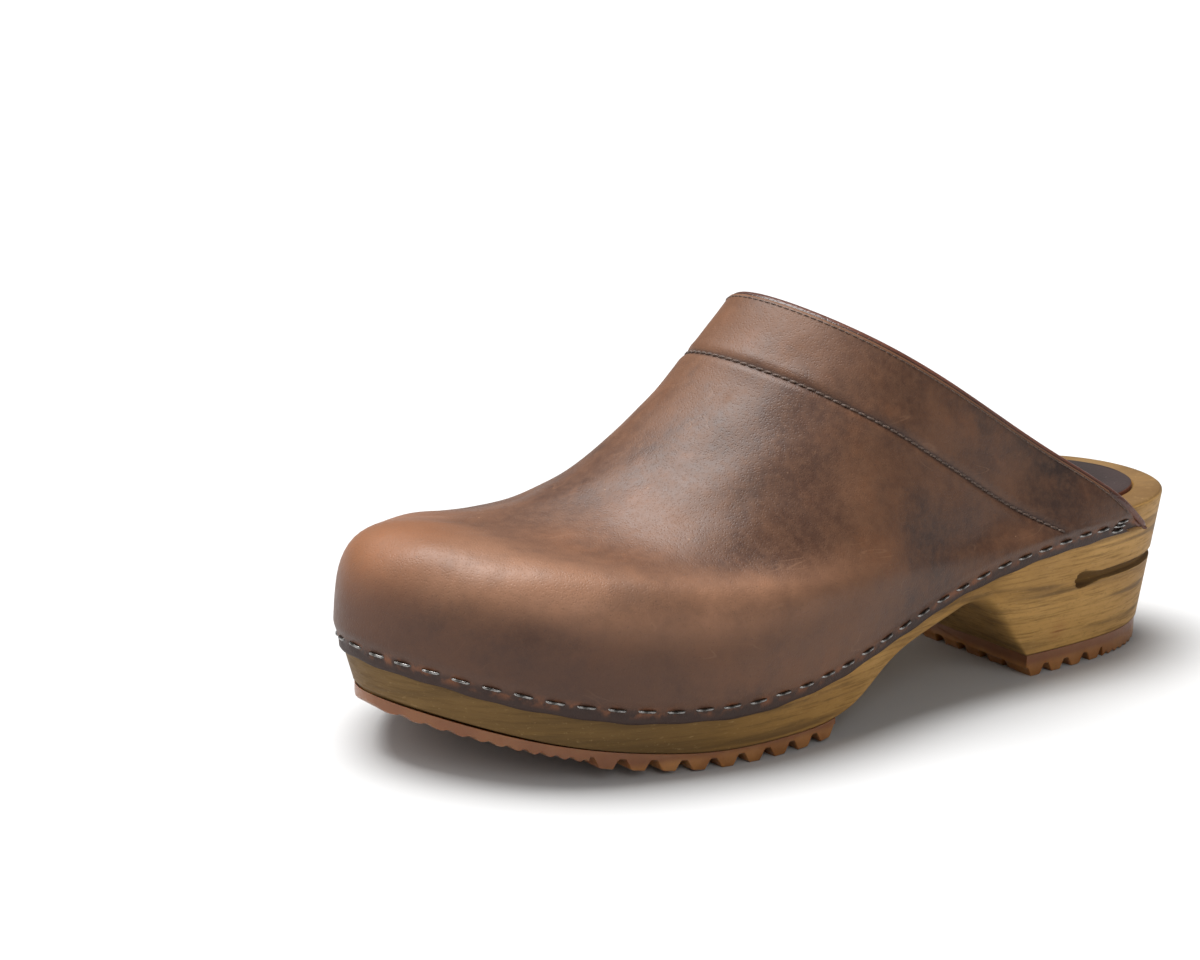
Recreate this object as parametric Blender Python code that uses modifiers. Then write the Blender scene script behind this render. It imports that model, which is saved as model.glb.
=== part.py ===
"""Wooden clog, left shoe: a one-piece leather upper stapled round a carved wooden base.

The design is written in millimetres as (distance from the heel's back, distance towards
the outer side, height above the floor). Meshes are made in metres, with +X towards the
toe, +Y towards the outer side and +Z up. The origin is on the floor, at the middle of the
heel tread's first large lug.
"""

import math

import bmesh
import bpy
import numpy as np
from mathutils import Matrix, Vector

MM = 0.001
ORIGIN_FROM_HEEL = 44.5
GAP = 0.3

# Plan outline of the wooden base at its rim: (from heel, sideways).
OUTER_SIDE = ((6, 20), (22, 33), (50, 40), (85, 42), (120, 43.5), (155, 49.5), (190, 53.5),
              (225, 49), (255, 38.5), (275, 19))
TOE_TIP = (285, -12)
INNER_SIDE = ((275, -30.5), (255, -49), (225, -54), (190, -49), (155, -40.5), (120, -34.5),
              (85, -34.5), (50, -40), (22, -33), (6, -20))
HEEL_BACK = (0, 0)

# Heights along the shoe: (from heel, height).
RIM = ((0, 49.2), (25, 49.2), (50, 49), (75, 47.1), (100, 43.2), (150, 30.2), (200, 22.9),
       (250, 28), (286, 37.3))
HEEL_BOTTOM = 7.0
WAIST_BOTTOM = ((76, 7), (84, 15.5), (92, 23.8), (99, 27.3), (110, 26), (130, 21.3), (140, 16.6),
                (150, 10.2), (161, 6.4), (180, 5.1), (205, 5.0), (225, 7.0), (250, 11.5), (286, 20.8))
BREAST = 76.0
ARCH_TOP = 96.0

# Wooden base.
LEATHER_LAP = 7.4
RIM_ROUND = 1.2
HEEL_DRAFT = 5.6
FORE_DRAFT = 2.4
EDGE_BREAK = 0.9
BREAST_CHAMFER = 4.5
GROOVE_HEIGHT = 28.9
GROOVE_END = 61.0
GROOVE_RADIUS = 1.9
GROOVE_END_RADIUS = 2.6

# Footbed leather.
FOOTBED_INSET = 9.0
RECESS_DEPTH = 0.9
FOOTBED_DISH = 2.0
DISH_FULL_WIDTH = 50.0
FOOTBED_THICKNESS = 1.5

# Rubber tread.
LUG_PITCH = 9.0
LUG_FLANK = 1.7
LUG_TIP = 3.4
LUG_HEIGHT = 3.0
RUBBER_BALL = 5.0
FORE_TREAD_START = 161.0
FORE_LUGS = 9
SCALLOP_HEIGHT = 0.8
RUBBER_TOE = 3.6
HEEL_LUG_START = 40.0
HEEL_LUGS = 4
HEEL_ROLL = 2.0
HEEL_ROLL_LENGTH = 22.0
TREAD_INSET = 0.5

# Leather upper. Three rails shape it between its lower edge and the topline. Each value
# stands at an eighth of the way round the lower edge, from the outer rear corner by the
# toe to the inner rear corner. IN and UP are shares of the way from the lower edge to the
# topline, in plan and in height. OUT is an outward bulge in millimetres.
LEATHER = 2.0
UPPER_CLEAR = LEATHER + GAP
REAR_CORNER = 34.0
CORNER_HEIGHT = 6.0
WALL_OUT = (0, 2.2, 3.8, 4, 3.6, 3.9, 3.8, 2.5, 0)
WALL_UP = (0.36, 0.31, 0.37, 0.47, 0.5, 0.42, 0.35, 0.37, 0.36)
SHOULDER_IN = (0.25, 0.28, 0.22, 0.3, 0.33, 0.3, 0.22, 0.24, 0.25)
SHOULDER_OUT = (0, 0.8, 2, 1.2, 0.8, 1.7, 2.4, 2, 0)
SHOULDER_UP = (0.5, 0.38, 0.41, 0.3, 0.24, 0.33, 0.5, 0.46, 0.5)
SLOPE_IN = (0.6, 0.65, 0.64, 0.62, 0.67, 0.68, 0.63, 0.62, 0.6)
SLOPE_OUT = (0, 2, 2.4, 1.6, 1, 1.5, 2.4, 2.1, 0)
SLOPE_UP = (0.75, 0.58, 0.58, 0.54, 0.47, 0.57, 0.69, 0.68, 0.75)
# Topline between the rear corners: (from heel, sideways, height), with its top in the middle.
TOPLINE = ((48, 39.8, 57), (66.5, 35.5, 69), (137.6, 20.8, 112.3), (150.5, -14.7, 118.5),
           (121.8, -38, 98.5), (66.5, -36, 68), (48, -39.8, 56.5))
TOPLINE_MIDDLE = 4

# Topline trim.
BEAD_RADIUS = 2.8
BEAD_WALL = 1.3
BEAD_TAPER = 0.07
BEAD_TIP = 0.62
BEAD_INWARD = (0.03, 0.09)
BEAD_GAP = 0.6
CORD_RADIUS = 1.1
CORD_START = 0.05
FACING = 1.0
FACING_START = 0.075
SEAM_BELOW = 24.0
FACING_BELOW_SEAM = 2.0
FACING_LIFT = 5.5
TRIM_SHARE = 0.7
BEAD_SEAM_BELOW = 2.4
SEAM_CLEAR = 6.8
THREAD_RADIUS = 0.35

# Staples.
WIRE_RADIUS = 0.42
CROWN = 6.4
LEG = 6.2
STAPLE_LINE = 3.8
STAPLES_PER_SIDE = 24
STAPLE_PITCH = 8.6
CORNER_STAPLES = 3
CORNER_STAPLE_AT = 11.5
CORNER_STAPLE_STEP = 1.8
CORNER_STAPLE_LOW = 1.5
HOLE_HALF = 0.6
HOLE_ABOVE = 1.0

UPPER_COLUMNS = 60
COLUMN_CROWDING = 0.4
UPPER_ROWS = 12
FACING_ROWS = 4
BASE_ACROSS = 5
SHARP_ANGLE = 40.0
WELD = 1e-6


def spline(knots, values):
    """A smooth natural cubic curve through the values, as a function of the knot parameter."""
    knots = np.asarray(knots, float)
    values = np.asarray(values, float).reshape(len(knots), -1)
    step = np.diff(knots)
    slope = np.diff(values, axis=0) / step[:, None]
    count = len(knots)
    matrix = np.zeros((count, count))
    right = np.zeros_like(values)
    matrix[0, :2] = 2, 1
    right[0] = 3 * slope[0]
    matrix[-1, -2:] = 1, 2
    right[-1] = 3 * slope[-1]
    for k in range(1, count - 1):
        matrix[k, k - 1:k + 2] = step[k], 2 * (step[k - 1] + step[k]), step[k - 1]
        right[k] = 3 * (step[k] * slope[k - 1] + step[k - 1] * slope[k])
    tangent = np.linalg.solve(matrix, right)

    def curve(at):
        at = np.asarray(at, float)
        k = np.clip(np.searchsorted(knots, at, side="right") - 1, 0, count - 2)
        width = step[k][..., None]
        t = ((at - knots[k])[..., None]) / width
        return ((2 * t ** 3 - 3 * t ** 2 + 1) * values[k] + (t ** 3 - 2 * t ** 2 + t) * width * tangent[k]
                + (3 * t ** 2 - 2 * t ** 3) * values[k + 1] + (t ** 3 - t ** 2) * width * tangent[k + 1])

    return curve


def height_curve(pairs):
    """A height along the shoe, as a function of the distance from the heel."""
    pairs = np.array(pairs, float)
    curve = spline(pairs[:, 0], pairs[:, 1])
    return lambda d: curve(d)[..., 0]


def smooth_step(x, start, end):
    t = np.clip((np.asarray(x, float) - start) / (end - start), 0, 1)
    return t * t * (3 - 2 * t)


def arc_lengths(points):
    return np.concatenate([[0], np.cumsum(np.linalg.norm(np.diff(points, axis=0), axis=1))])


def along(points, distances):
    """Points at the given distances along a polyline."""
    length = arc_lengths(points)
    return np.column_stack([np.interp(distances, length, points[:, axis]) for axis in range(3)])


def unit(vectors):
    return vectors / np.linalg.norm(vectors, axis=-1, keepdims=True)


rim_height = height_curve(RIM)
waist_bottom = height_curve(WAIST_BOTTOM)


def wood_bottom(d):
    return np.where(d < BREAST, HEEL_BOTTOM, waist_bottom(np.maximum(d, BREAST)))


def feather_height(d):
    """Height of the upper's lower edge."""
    return rim_height(d) - LEATHER_LAP


class Outline:
    """The plan outline of the wooden base, as a closed curve that each side is read from."""

    def __init__(self):
        points = np.array((HEEL_BACK,) + OUTER_SIDE + (TOE_TIP,) + INNER_SIDE, float)
        wrapped = np.concatenate([points[-4:], points, points[:5]])
        knots = arc_lengths(wrapped)
        self.curve = spline(knots, wrapped)
        start, end = knots[4], knots[4 + len(points)]
        samples = np.linspace(start, end, 2401)
        reach = self.curve(samples)[:, 0]
        self.toe = samples[np.argmax(reach)]
        near_heel = np.linspace(start - 5, start + 5, 401)
        self.heel = near_heel[np.argmin(self.curve(near_heel)[:, 0])]
        self.period = end - start
        self.toe_reach = float(self.curve(self.toe)[0])
        self.heel_reach = float(self.curve(self.heel)[0])

    def normal(self, t):
        tangent = unit(self.curve(t + 0.05) - self.curve(t - 0.05))
        return np.stack([-tangent[..., 1], tangent[..., 0]], axis=-1)

    def side(self, distances, outer):
        """Curve parameters of one side at the given distances from the heel."""
        end = self.heel if outer else self.heel + self.period
        samples = np.linspace(end, self.toe, 1201)
        reach = np.maximum.accumulate(self.curve(samples)[:, 0])
        return np.interp(distances, reach, samples)

    def inset(self, t, amount):
        """Points of the outline moved inwards by the given amount."""
        return self.curve(t) - self.normal(t) * np.reshape(amount, (-1, 1))


outline = Outline()


def place(points):
    """Design points in millimetres to mesh coordinates in metres."""
    points = np.array(points, float).reshape(-1, 3) - (ORIGIN_FROM_HEEL, 0, 0)
    return [Vector(p * MM) for p in points]


def clear_scene():
    for thing in list(bpy.data.objects):
        bpy.data.objects.remove(thing, do_unlink=True)
    for group in list(bpy.data.collections):
        bpy.data.collections.remove(group)


def new_collection(name):
    group = bpy.data.collections.new(name)
    bpy.context.scene.collection.children.link(group)
    return group


def new_material(name, colour, roughness, metallic=0.0):
    material = bpy.data.materials.new(name)
    material.use_nodes = True
    shader = material.node_tree.nodes["Principled BSDF"]
    shader.inputs["Base Color"].default_value = (*colour, 1)
    shader.inputs["Roughness"].default_value = roughness
    shader.inputs["Metallic"].default_value = metallic
    return material


def add_object(name, data, material, group):
    thing = bpy.data.objects.new(name, data)
    group.objects.link(thing)
    if material:
        thing.data.materials.append(material)
    return thing


def grid_mesh(name, points, closed_around=False):
    """A smooth-shaded mesh of quads over a grid of design points, welded where rows come together."""
    rows, columns = points.shape[:2]
    mesh = bmesh.new()
    verts = [mesh.verts.new(p) for p in place(points)]
    last = columns if closed_around else columns - 1
    for i in range(rows - 1):
        for j in range(last):
            k = (j + 1) % columns
            mesh.faces.new((verts[i * columns + j], verts[i * columns + k],
                            verts[(i + 1) * columns + k], verts[(i + 1) * columns + j]))
    for i in (0, rows - 1):
        if closed_around and np.ptp(points[i, :, 1]) > 0.01:
            mesh.faces.new(verts[i * columns:(i + 1) * columns])
    bmesh.ops.remove_doubles(mesh, verts=mesh.verts, dist=WELD)
    bmesh.ops.dissolve_degenerate(mesh, edges=mesh.edges, dist=WELD)
    bmesh.ops.recalc_face_normals(mesh, faces=mesh.faces)
    data = bpy.data.meshes.new(name)
    mesh.to_mesh(data)
    mesh.free()
    data.shade_smooth()
    data.set_sharp_from_angle(angle=math.radians(SHARP_ANGLE))
    return data


def solidify(thing, thickness):
    shell = thing.modifiers.new("Thickness", "SOLIDIFY")
    shell.thickness = thickness * MM
    shell.offset = -1


def boolean_cut(thing, cutter):
    cut = thing.modifiers.new("Cut " + cutter.name, "BOOLEAN")
    cut.operation = "DIFFERENCE"
    cut.solver = "EXACT"
    cut.object = cutter


def wire_curve(name, points, radius, sides=0, caps=True, radii=None):
    """A curve object's data: a bevelled wire through design points."""
    data = bpy.data.curves.new(name, "CURVE")
    data.dimensions = "3D"
    data.bevel_depth = radius * MM
    data.bevel_resolution = sides
    data.use_fill_caps = caps
    line = data.splines.new("POLY")
    line.points.add(len(points) - 1)
    for k, point in enumerate(place(points)):
        line.points[k].co = (*point, 1)
        line.points[k].radius = 1.0 if radii is None else radii[k]
    return data


def curve_to_mesh(name, data, group):
    """A mesh object made from a curve, with its caps welded on."""
    source = add_object(name + "_curve", data, None, group)
    bpy.context.view_layer.update()
    graph = bpy.context.evaluated_depsgraph_get()
    made = bpy.data.meshes.new_from_object(source.evaluated_get(graph))
    bpy.data.objects.remove(source, do_unlink=True)
    mesh = bmesh.new()
    mesh.from_mesh(made)
    bmesh.ops.remove_doubles(mesh, verts=mesh.verts, dist=WELD)
    bmesh.ops.recalc_face_normals(mesh, faces=mesh.faces)
    mesh.to_mesh(made)
    mesh.free()
    made.name = name
    made.shade_smooth()
    made.set_sharp_from_angle(angle=math.radians(SHARP_ANGLE))
    return made


def as_cutter(name, data, group):
    cutter = add_object(name, data, None, group)
    cutter.hide_render = True
    cutter.display_type = "WIRE"
    return cutter


def eased(start, end, count, blunt_start=False, blunt_end=False):
    """Stations between two places, closer together where the outline turns across the shoe."""
    t = np.linspace(0, 1, count)
    if blunt_start and blunt_end:
        t = (1 - np.cos(math.pi * t)) / 2
    elif blunt_start:
        t = 1 - np.cos(math.pi / 2 * t)
    elif blunt_end:
        t = np.sin(math.pi / 2 * t)
    return start + (end - start) * t


def both_sides(stations):
    return outline.side(stations, True), outline.side(stations, False)


def across(outer, inner, count):
    """Points evenly across the shoe between two edges, edges included."""
    w = np.linspace(0, 1, count + 2)[None, :, None]
    return outer[:, None] * (1 - w) + inner[:, None] * w


def with_height(plan, height):
    height = np.broadcast_to(height, plan.shape[:-1])
    return np.concatenate([plan, height[..., None]], axis=-1)


def dish(plan):
    """Depth of the footbed's hollow over rows of points that run from edge to edge."""
    w = np.linspace(0, 1, plan.shape[1])
    width = np.linalg.norm(plan[:, :1] - plan[:, -1:], axis=-1)
    return FOOTBED_DISH * 4 * w * (1 - w) * np.clip(width / DISH_FULL_WIDTH, 0, 1) ** 2


def wood_base():
    stations = np.concatenate([
        eased(outline.heel_reach, 34, 10, blunt_start=True), np.linspace(40, 64, 4),
        np.linspace(70, BREAST, 2), np.linspace(80, ARCH_TOP, 5), np.linspace(102, 145, 7),
        np.linspace(150, 235, 11), eased(243, outline.toe_reach, 10, blunt_end=True)])
    draft = HEEL_DRAFT + (FORE_DRAFT - HEEL_DRAFT) * smooth_step(stations, BREAST, ARCH_TOP + 10)
    low = wood_bottom(stations)
    rim = rim_height(stations)
    feather = feather_height(stations)
    straight = draft * (rim - RIM_ROUND - feather) / (rim - RIM_ROUND - low)
    at_feather = straight * (1 - smooth_step(stations, REAR_CORNER, REAR_CORNER + 24))
    bevel = EDGE_BREAK + BREAST_CHAMFER * (smooth_step(stations, BREAST, 88)
                                           - smooth_step(stations, ARCH_TOP + 3, ARCH_TOP + 32))
    sides = []
    for t in both_sides(stations):
        sides.append([
            with_height(outline.inset(t, draft), low + bevel),
            with_height(outline.inset(t, at_feather), feather),
            with_height(outline.inset(t, 0 * rim), rim - RIM_ROUND),
            with_height(outline.inset(t, 0 * rim + RIM_ROUND), rim),
            with_height(outline.inset(t, 0 * rim + FOOTBED_INSET), rim),
            with_height(outline.inset(t, 0 * rim + FOOTBED_INSET + 0.1), rim - RECESS_DEPTH),
            outline.inset(t, draft + bevel)])
    outer, inner = sides
    seat = across(outer[5][:, :2], inner[5][:, :2], BASE_ACROSS)
    seat = with_height(seat, rim_height(seat[..., 0]) - RECESS_DEPTH - dish(seat))
    sole = across(outer[6], inner[6], BASE_ACROSS)
    sole = with_height(sole, wood_bottom(sole[..., 0]))
    loop = [p[:, None] for p in outer[:5]] + [seat] + [p[:, None] for p in inner[4::-1]] + [sole[:, ::-1]]
    return grid_mesh("wood_base", np.concatenate(loop, axis=1), closed_around=True)


def heel_groove(group):
    """The tube that cuts the groove round the back of the heel, wider at its two ends."""
    height = GROOVE_HEIGHT
    stations = eased(outline.heel_reach, GROOVE_END, 16, blunt_start=True)
    outer_t, inner_t = both_sides(stations)
    t = np.concatenate([outer_t[::-1], inner_t[1:] - outline.period])
    drop = HEEL_DRAFT * (rim_height(stations[0]) - height) / (rim_height(stations[0]) - HEEL_BOTTOM)
    path = with_height(outline.inset(t, drop - 0.5 + 0 * t), height)
    distance = arc_lengths(path)
    from_end = np.minimum(distance, distance[-1] - distance)
    swell = 1 + (GROOVE_END_RADIUS / GROOVE_RADIUS - 1) * (1 - smooth_step(from_end, 2, 14))
    data = wire_curve("groove_path", path, GROOVE_RADIUS, sides=2, radii=swell)
    return as_cutter("groove_cutter", curve_to_mesh("groove_cutter", data, group), group)


def footbed_leather():
    first, last = outline.heel_reach, outline.toe_reach
    stations = np.concatenate([eased(first, 40, 10, blunt_start=True), np.linspace(52, 230, 16),
                               eased(240, last, 9, blunt_end=True)])
    outer_t, inner_t = both_sides(stations)
    edge = FOOTBED_INSET + 2 * GAP + 0 * stations
    plan = across(outline.inset(outer_t, edge), outline.inset(inner_t, edge), BASE_ACROSS)
    low = rim_height(plan[..., 0]) - RECESS_DEPTH + GAP - dish(plan)
    top = with_height(plan, low + FOOTBED_THICKNESS)
    return grid_mesh("footbed_leather", np.concatenate([top, with_height(plan, low)[:, ::-1]], axis=1),
                     closed_around=True)


def lug_stations(start, count):
    """Places and depths along a row of lugs: 0 at a root, 1 at a tip."""
    places = []
    for k in range(count):
        foot = start + k * LUG_PITCH + (LUG_PITCH - LUG_TIP) / 2 - LUG_FLANK
        places += [(foot, 0), (foot + LUG_FLANK, 1), (foot + LUG_FLANK + LUG_TIP, 1),
                   (foot + 2 * LUG_FLANK + LUG_TIP, 0)]
    return places


def scallop_stations(start, end, count):
    """Places and depths along a row of small pointed teeth."""
    places = []
    for k in range(2 * count):
        places.append((start + (end - start) * k / (2 * count), k % 2))
    return places


def tread_plate(name, stations, draft, top, bottom):
    """A rubber plate: flat sides, its top against the wood and its underside cut into lugs."""
    outer_t, inner_t = both_sides(stations)
    edge = draft + TREAD_INSET
    plan = across(outline.inset(outer_t, edge), outline.inset(inner_t, edge), 3)
    top_face = with_height(plan, top(plan[..., 0]) - GAP)
    low_face = with_height(plan, np.repeat(bottom[:, None], plan.shape[1], axis=1))
    data = grid_mesh(name, np.concatenate([top_face, low_face[:, ::-1]], axis=1), closed_around=True)
    return data


def heel_outsole():
    end = HEEL_LUG_START
    first = outline.heel_reach
    places = [(first, 0), (first + 0.4, 0)] + scallop_stations(first + 1.6, end, 9)
    places += lug_stations(end, HEEL_LUGS)
    places = np.array(places + [(BREAST - 0.5, 0)])
    d, depth = places[:, 0], places[:, 1]
    roll = HEEL_ROLL * (1 - smooth_step(d, first, HEEL_ROLL_LENGTH))
    bottom = np.where(d < end, SCALLOP_HEIGHT * (1 - depth) + roll, LUG_HEIGHT * (1 - depth))
    return tread_plate("heel_outsole", d, HEEL_DRAFT + 0 * d, wood_bottom, bottom)


def forefoot_outsole():
    lug_end = FORE_TREAD_START + FORE_LUGS * LUG_PITCH
    last = outline.toe_reach
    places = [(FORE_TREAD_START, 0)] + lug_stations(FORE_TREAD_START, FORE_LUGS)
    places += scallop_stations(lug_end, last - 1.6, 9)
    places = np.array(places + [(last - 0.5, 0), (last, 0)])
    d, depth = places[:, 0], places[:, 1]
    wood = wood_bottom(d)
    lug_bottom = np.maximum(0, wood - RUBBER_BALL) + LUG_HEIGHT * (1 - depth)
    toe_bottom = wood - RUBBER_TOE + SCALLOP_HEIGHT * (1 - depth)
    blend = smooth_step(d, lug_end - LUG_PITCH, lug_end + LUG_PITCH / 2)
    thinned = toe_bottom - (RUBBER_BALL - RUBBER_TOE) * (1 - blend)
    bottom = np.where(d < lug_end, lug_bottom, thinned)
    return tread_plate("forefoot_outsole", d, FORE_DRAFT + 0 * d, wood_bottom, bottom)


class UpperShape:
    """The outer face of the upper: ribs that run from the lower edge up to the topline."""

    SAMPLES = 60

    def __init__(self, columns):
        even = np.linspace(0, 1, columns + 1)
        self.s = even - COLUMN_CROWDING * np.sin(4 * math.pi * even) / (4 * math.pi)
        outer_end = outline.side(REAR_CORNER, True)
        inner_end = outline.side(REAR_CORNER, False)
        halves = []
        for start, end in ((outer_end, outline.toe), (outline.toe, inner_end)):
            t = np.linspace(start, end, 400)
            length = arc_lengths(self.feather(t))
            halves.append((t, length / length[-1]))
        t = np.where(self.s <= 0.5, np.interp(self.s * 2, halves[0][1], halves[0][0]),
                     np.interp(self.s * 2 - 1, halves[1][1], halves[1][0]))
        self.low = self.feather(t)
        self.out = with_height(outline.normal(t), 0)
        self.top = self.topline_points()
        self.ribs = self.make_ribs()

    @staticmethod
    def feather(t):
        plan = outline.inset(t, -UPPER_CLEAR + 0 * t)
        return with_height(plan, feather_height(plan[:, 0]))

    def topline_points(self):
        ends = self.low[[0, -1]] + (0, 0, CORNER_HEIGHT)
        points = np.concatenate([ends[:1], np.array(TOPLINE), ends[1:]])
        knots = arc_lengths(points)
        curve = spline(knots, points)
        middle = knots[TOPLINE_MIDDLE]
        halves = []
        for start, end in ((0, middle), (middle, knots[-1])):
            fine = curve(np.linspace(start, end, 300))
            length = arc_lengths(fine)
            halves.append((fine, length / length[-1]))
        columns = []
        for axis in range(3):
            columns.append(np.where(
                self.s <= 0.5, np.interp(self.s * 2, halves[0][1], halves[0][0][:, axis]),
                np.interp(self.s * 2 - 1, halves[1][1], halves[1][0][:, axis])))
        return np.column_stack(columns)

    def make_ribs(self):
        """Each rib is a cubic B-spline on five rails."""
        eighths = np.linspace(0, 1, 9)

        def rail(values):
            return spline(eighths, values)(self.s)

        rise = (self.top - self.low) * (0, 0, 1)
        inwards = (self.top - self.low) * (1, 1, 0)
        wall = self.low + self.out * rail(WALL_OUT) + rise * rail(WALL_UP)
        shoulder = (self.low + inwards * rail(SHOULDER_IN) + self.out * rail(SHOULDER_OUT)
                    + rise * rail(SHOULDER_UP))
        slope = (self.low + inwards * rail(SLOPE_IN) + self.out * rail(SLOPE_OUT)
                 + rise * rail(SLOPE_UP))
        rails = (self.low, wall, shoulder, slope, self.top)
        v = np.linspace(0, 1, self.SAMPLES + 1)
        first = np.clip(v * 2, 0, 1)
        second = np.clip(v * 2 - 1, 0, 1)
        low_half = self.bezier(rails[0], rails[1], (rails[1] + rails[2]) / 2,
                               (rails[1] + 2 * rails[2] + rails[3]) / 4, first)
        high_half = self.bezier((rails[1] + 2 * rails[2] + rails[3]) / 4, (rails[2] + rails[3]) / 2,
                                rails[3], rails[4], second)
        return np.where((v < 0.5)[None, :, None], low_half, high_half)

    @staticmethod
    def bezier(a, b, c, d, t):
        t = t[None, :, None]
        a, b, c, d = (p[:, None] for p in (a, b, c, d))
        return (1 - t) ** 3 * a + 3 * t * (1 - t) ** 2 * b + 3 * t ** 2 * (1 - t) * c + t ** 3 * d

    def from_top(self, distance):
        """One point on every rib, at the given distances down from the topline."""
        distance = np.broadcast_to(distance, len(self.s))
        return np.array([along(rib[::-1], [d])[0] for rib, d in zip(self.ribs, distance)])

    def from_edge(self, distance):
        distance = np.broadcast_to(distance, len(self.s))
        return np.array([along(rib, [d])[0] for rib, d in zip(self.ribs, distance)])

    def band(self, top_distance, bottom_distance, rows):
        """A grid over the upper, from one distance above its edge to another below its topline."""
        columns = []
        for rib, high, low in zip(self.ribs, np.broadcast_to(top_distance, len(self.s)),
                                  np.broadcast_to(bottom_distance, len(self.s))):
            columns.append(along(rib, np.linspace(low, arc_lengths(rib)[-1] - high, rows + 1)))
        return np.array(columns)

    def lengths(self):
        return np.array([arc_lengths(rib)[-1] for rib in self.ribs])


def surface_normals(points):
    """Outward normals over a grid whose columns run round the upper and rows run up it."""
    around = np.gradient(points, axis=0)
    rise = np.gradient(points, axis=1)
    return unit(np.cross(rise, around))


def line_normals(shape, line):
    """Outward normals of the upper along a line that has one point on every rib."""
    around = np.gradient(line, axis=0)
    rise = []
    for rib, point in zip(shape.ribs, line):
        near = np.argmin(np.linalg.norm(rib - point, axis=1))
        near = min(max(near, 1), len(rib) - 2)
        rise.append(rib[near + 1] - rib[near - 1])
    return unit(np.cross(np.array(rise), around))


def bead_scale(s):
    """Size of the bead, which thins to its two ends."""
    from_end = np.minimum(s, 1 - s)
    return BEAD_TIP + (1 - BEAD_TIP) * smooth_step(from_end, 0, BEAD_TAPER)


def bead_allowance(shape):
    """How far down from the topline the bead reaches, gap included."""
    return 2 * BEAD_RADIUS * bead_scale(shape.s) + BEAD_GAP


def upper(shape):
    trim = np.minimum(bead_allowance(shape), shape.lengths() * TRIM_SHARE)
    return grid_mesh("upper", shape.band(trim, 0, UPPER_ROWS))


def topline_facing(shape):
    """A band on the inner side of the upper, from just under the bead to just past the seam."""
    length = shape.lengths()
    reach = np.minimum(SEAM_BELOW + FACING_BELOW_SEAM, length - LEATHER_LAP - FACING_LIFT)
    band = shape.band(bead_allowance(shape), length - reach, FACING_ROWS)
    keep = (shape.s > FACING_START) & (shape.s < 1 - FACING_START)
    band = band[keep]
    return grid_mesh("topline_facing", band - surface_normals(band) * UPPER_CLEAR)


def bead_centres(shape):
    edge = shape.from_top(BEAD_RADIUS * bead_scale(shape.s))
    inward = (LEATHER + GAP + FACING) / 2 * smooth_step(np.minimum(shape.s, 1 - shape.s), *BEAD_INWARD)
    return edge - line_normals(shape, edge) * inward[:, None]


def seam_thread(name, shape, below):
    """A thread on the outer face, the given distance below the topline, kept clear of the staples."""
    line = shape.from_top(below)
    line = line + line_normals(shape, line) * (GAP + THREAD_RADIUS)
    return wire_curve(name, line[shape.lengths() - below > SEAM_CLEAR], THREAD_RADIUS)


def staple_places(shape):
    """(middle, direction, outward) of every staple that the model holds as a solid."""
    places = []
    line = shape.from_edge(STAPLE_LINE)
    total = arc_lengths(line)[-1]
    for side in (1, -1):
        distances = [CORNER_STAPLE_AT] * CORNER_STAPLES
        heights = [CORNER_STAPLE_LOW + CORNER_STAPLE_STEP * k for k in range(CORNER_STAPLES)]
        for k in range(STAPLES_PER_SIDE - CORNER_STAPLES):
            distances.append(CORNER_STAPLE_AT + STAPLE_PITCH * (k + 1))
            heights.append(STAPLE_LINE)
        for distance, height in zip(distances, heights):
            here = distance if side > 0 else total - distance
            places.append(staple_at(shape, here, height))
    return places


def staple_at(shape, distance, height):
    level = shape.from_edge(height)
    length = arc_lengths(level) / arc_lengths(level)[-1]
    base = arc_lengths(shape.from_edge(STAPLE_LINE))
    at = distance / base[-1]
    ends = []
    for step in (-0.5, 0, 0.5):
        share = at + step * CROWN / base[-1]
        ends.append(np.array([np.interp(share, length, level[:, axis]) for axis in range(3)]))
    outward = unit(np.array([np.interp(at, length, shape.out[:, axis]) for axis in range(3)]))
    direction = unit(ends[2] - ends[0])
    outward = unit(outward - direction * (outward @ direction))
    return (ends[0] + ends[2]) / 2, direction, outward


def staple_wire():
    """A staple's wire: its crown lies over the leather and its two legs go into the wood."""
    half = CROWN / 2
    lift = GAP + WIRE_RADIUS
    corners = np.array([(-half, 0, lift - LEG), (-half, 0, lift), (half, 0, lift), (half, 0, lift - LEG)])
    return wire_curve("staple", corners + (ORIGIN_FROM_HEEL, 0, 0), WIRE_RADIUS)


def leg_hole(holes, here, end):
    """One square hole for a staple's leg, in the staple's own frame."""
    depth = LEG + HOLE_ABOVE
    box = Matrix.Translation(Vector((end, 0, HOLE_ABOVE - depth / 2)) * MM)
    size = Matrix.Diagonal((2 * HOLE_HALF * MM, 2 * HOLE_HALF * MM, depth * MM, 1))
    bmesh.ops.create_cube(holes, size=1, matrix=here @ box @ size)


def add_staples(shape, steel, parts, cutters):
    """Every staple, and the cutter for the holes that their legs stand in."""
    wire = staple_wire()
    wire.materials.append(steel)
    holes = bmesh.new()
    for k, (middle, direction, outward) in enumerate(staple_places(shape)):
        turn = Matrix((direction, np.cross(outward, direction), outward)).transposed().to_4x4()
        here = Matrix.Translation(place(middle)[0]) @ turn
        staple = add_object(f"staple_{k + 1:02d}", wire, None, parts)
        staple.matrix_world = here
        for end in (-CROWN / 2, CROWN / 2):
            leg_hole(holes, here, end)
    hole_data = bpy.data.meshes.new("staple_holes")
    holes.to_mesh(hole_data)
    holes.free()
    return as_cutter("staple_holes", hole_data, cutters)


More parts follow.
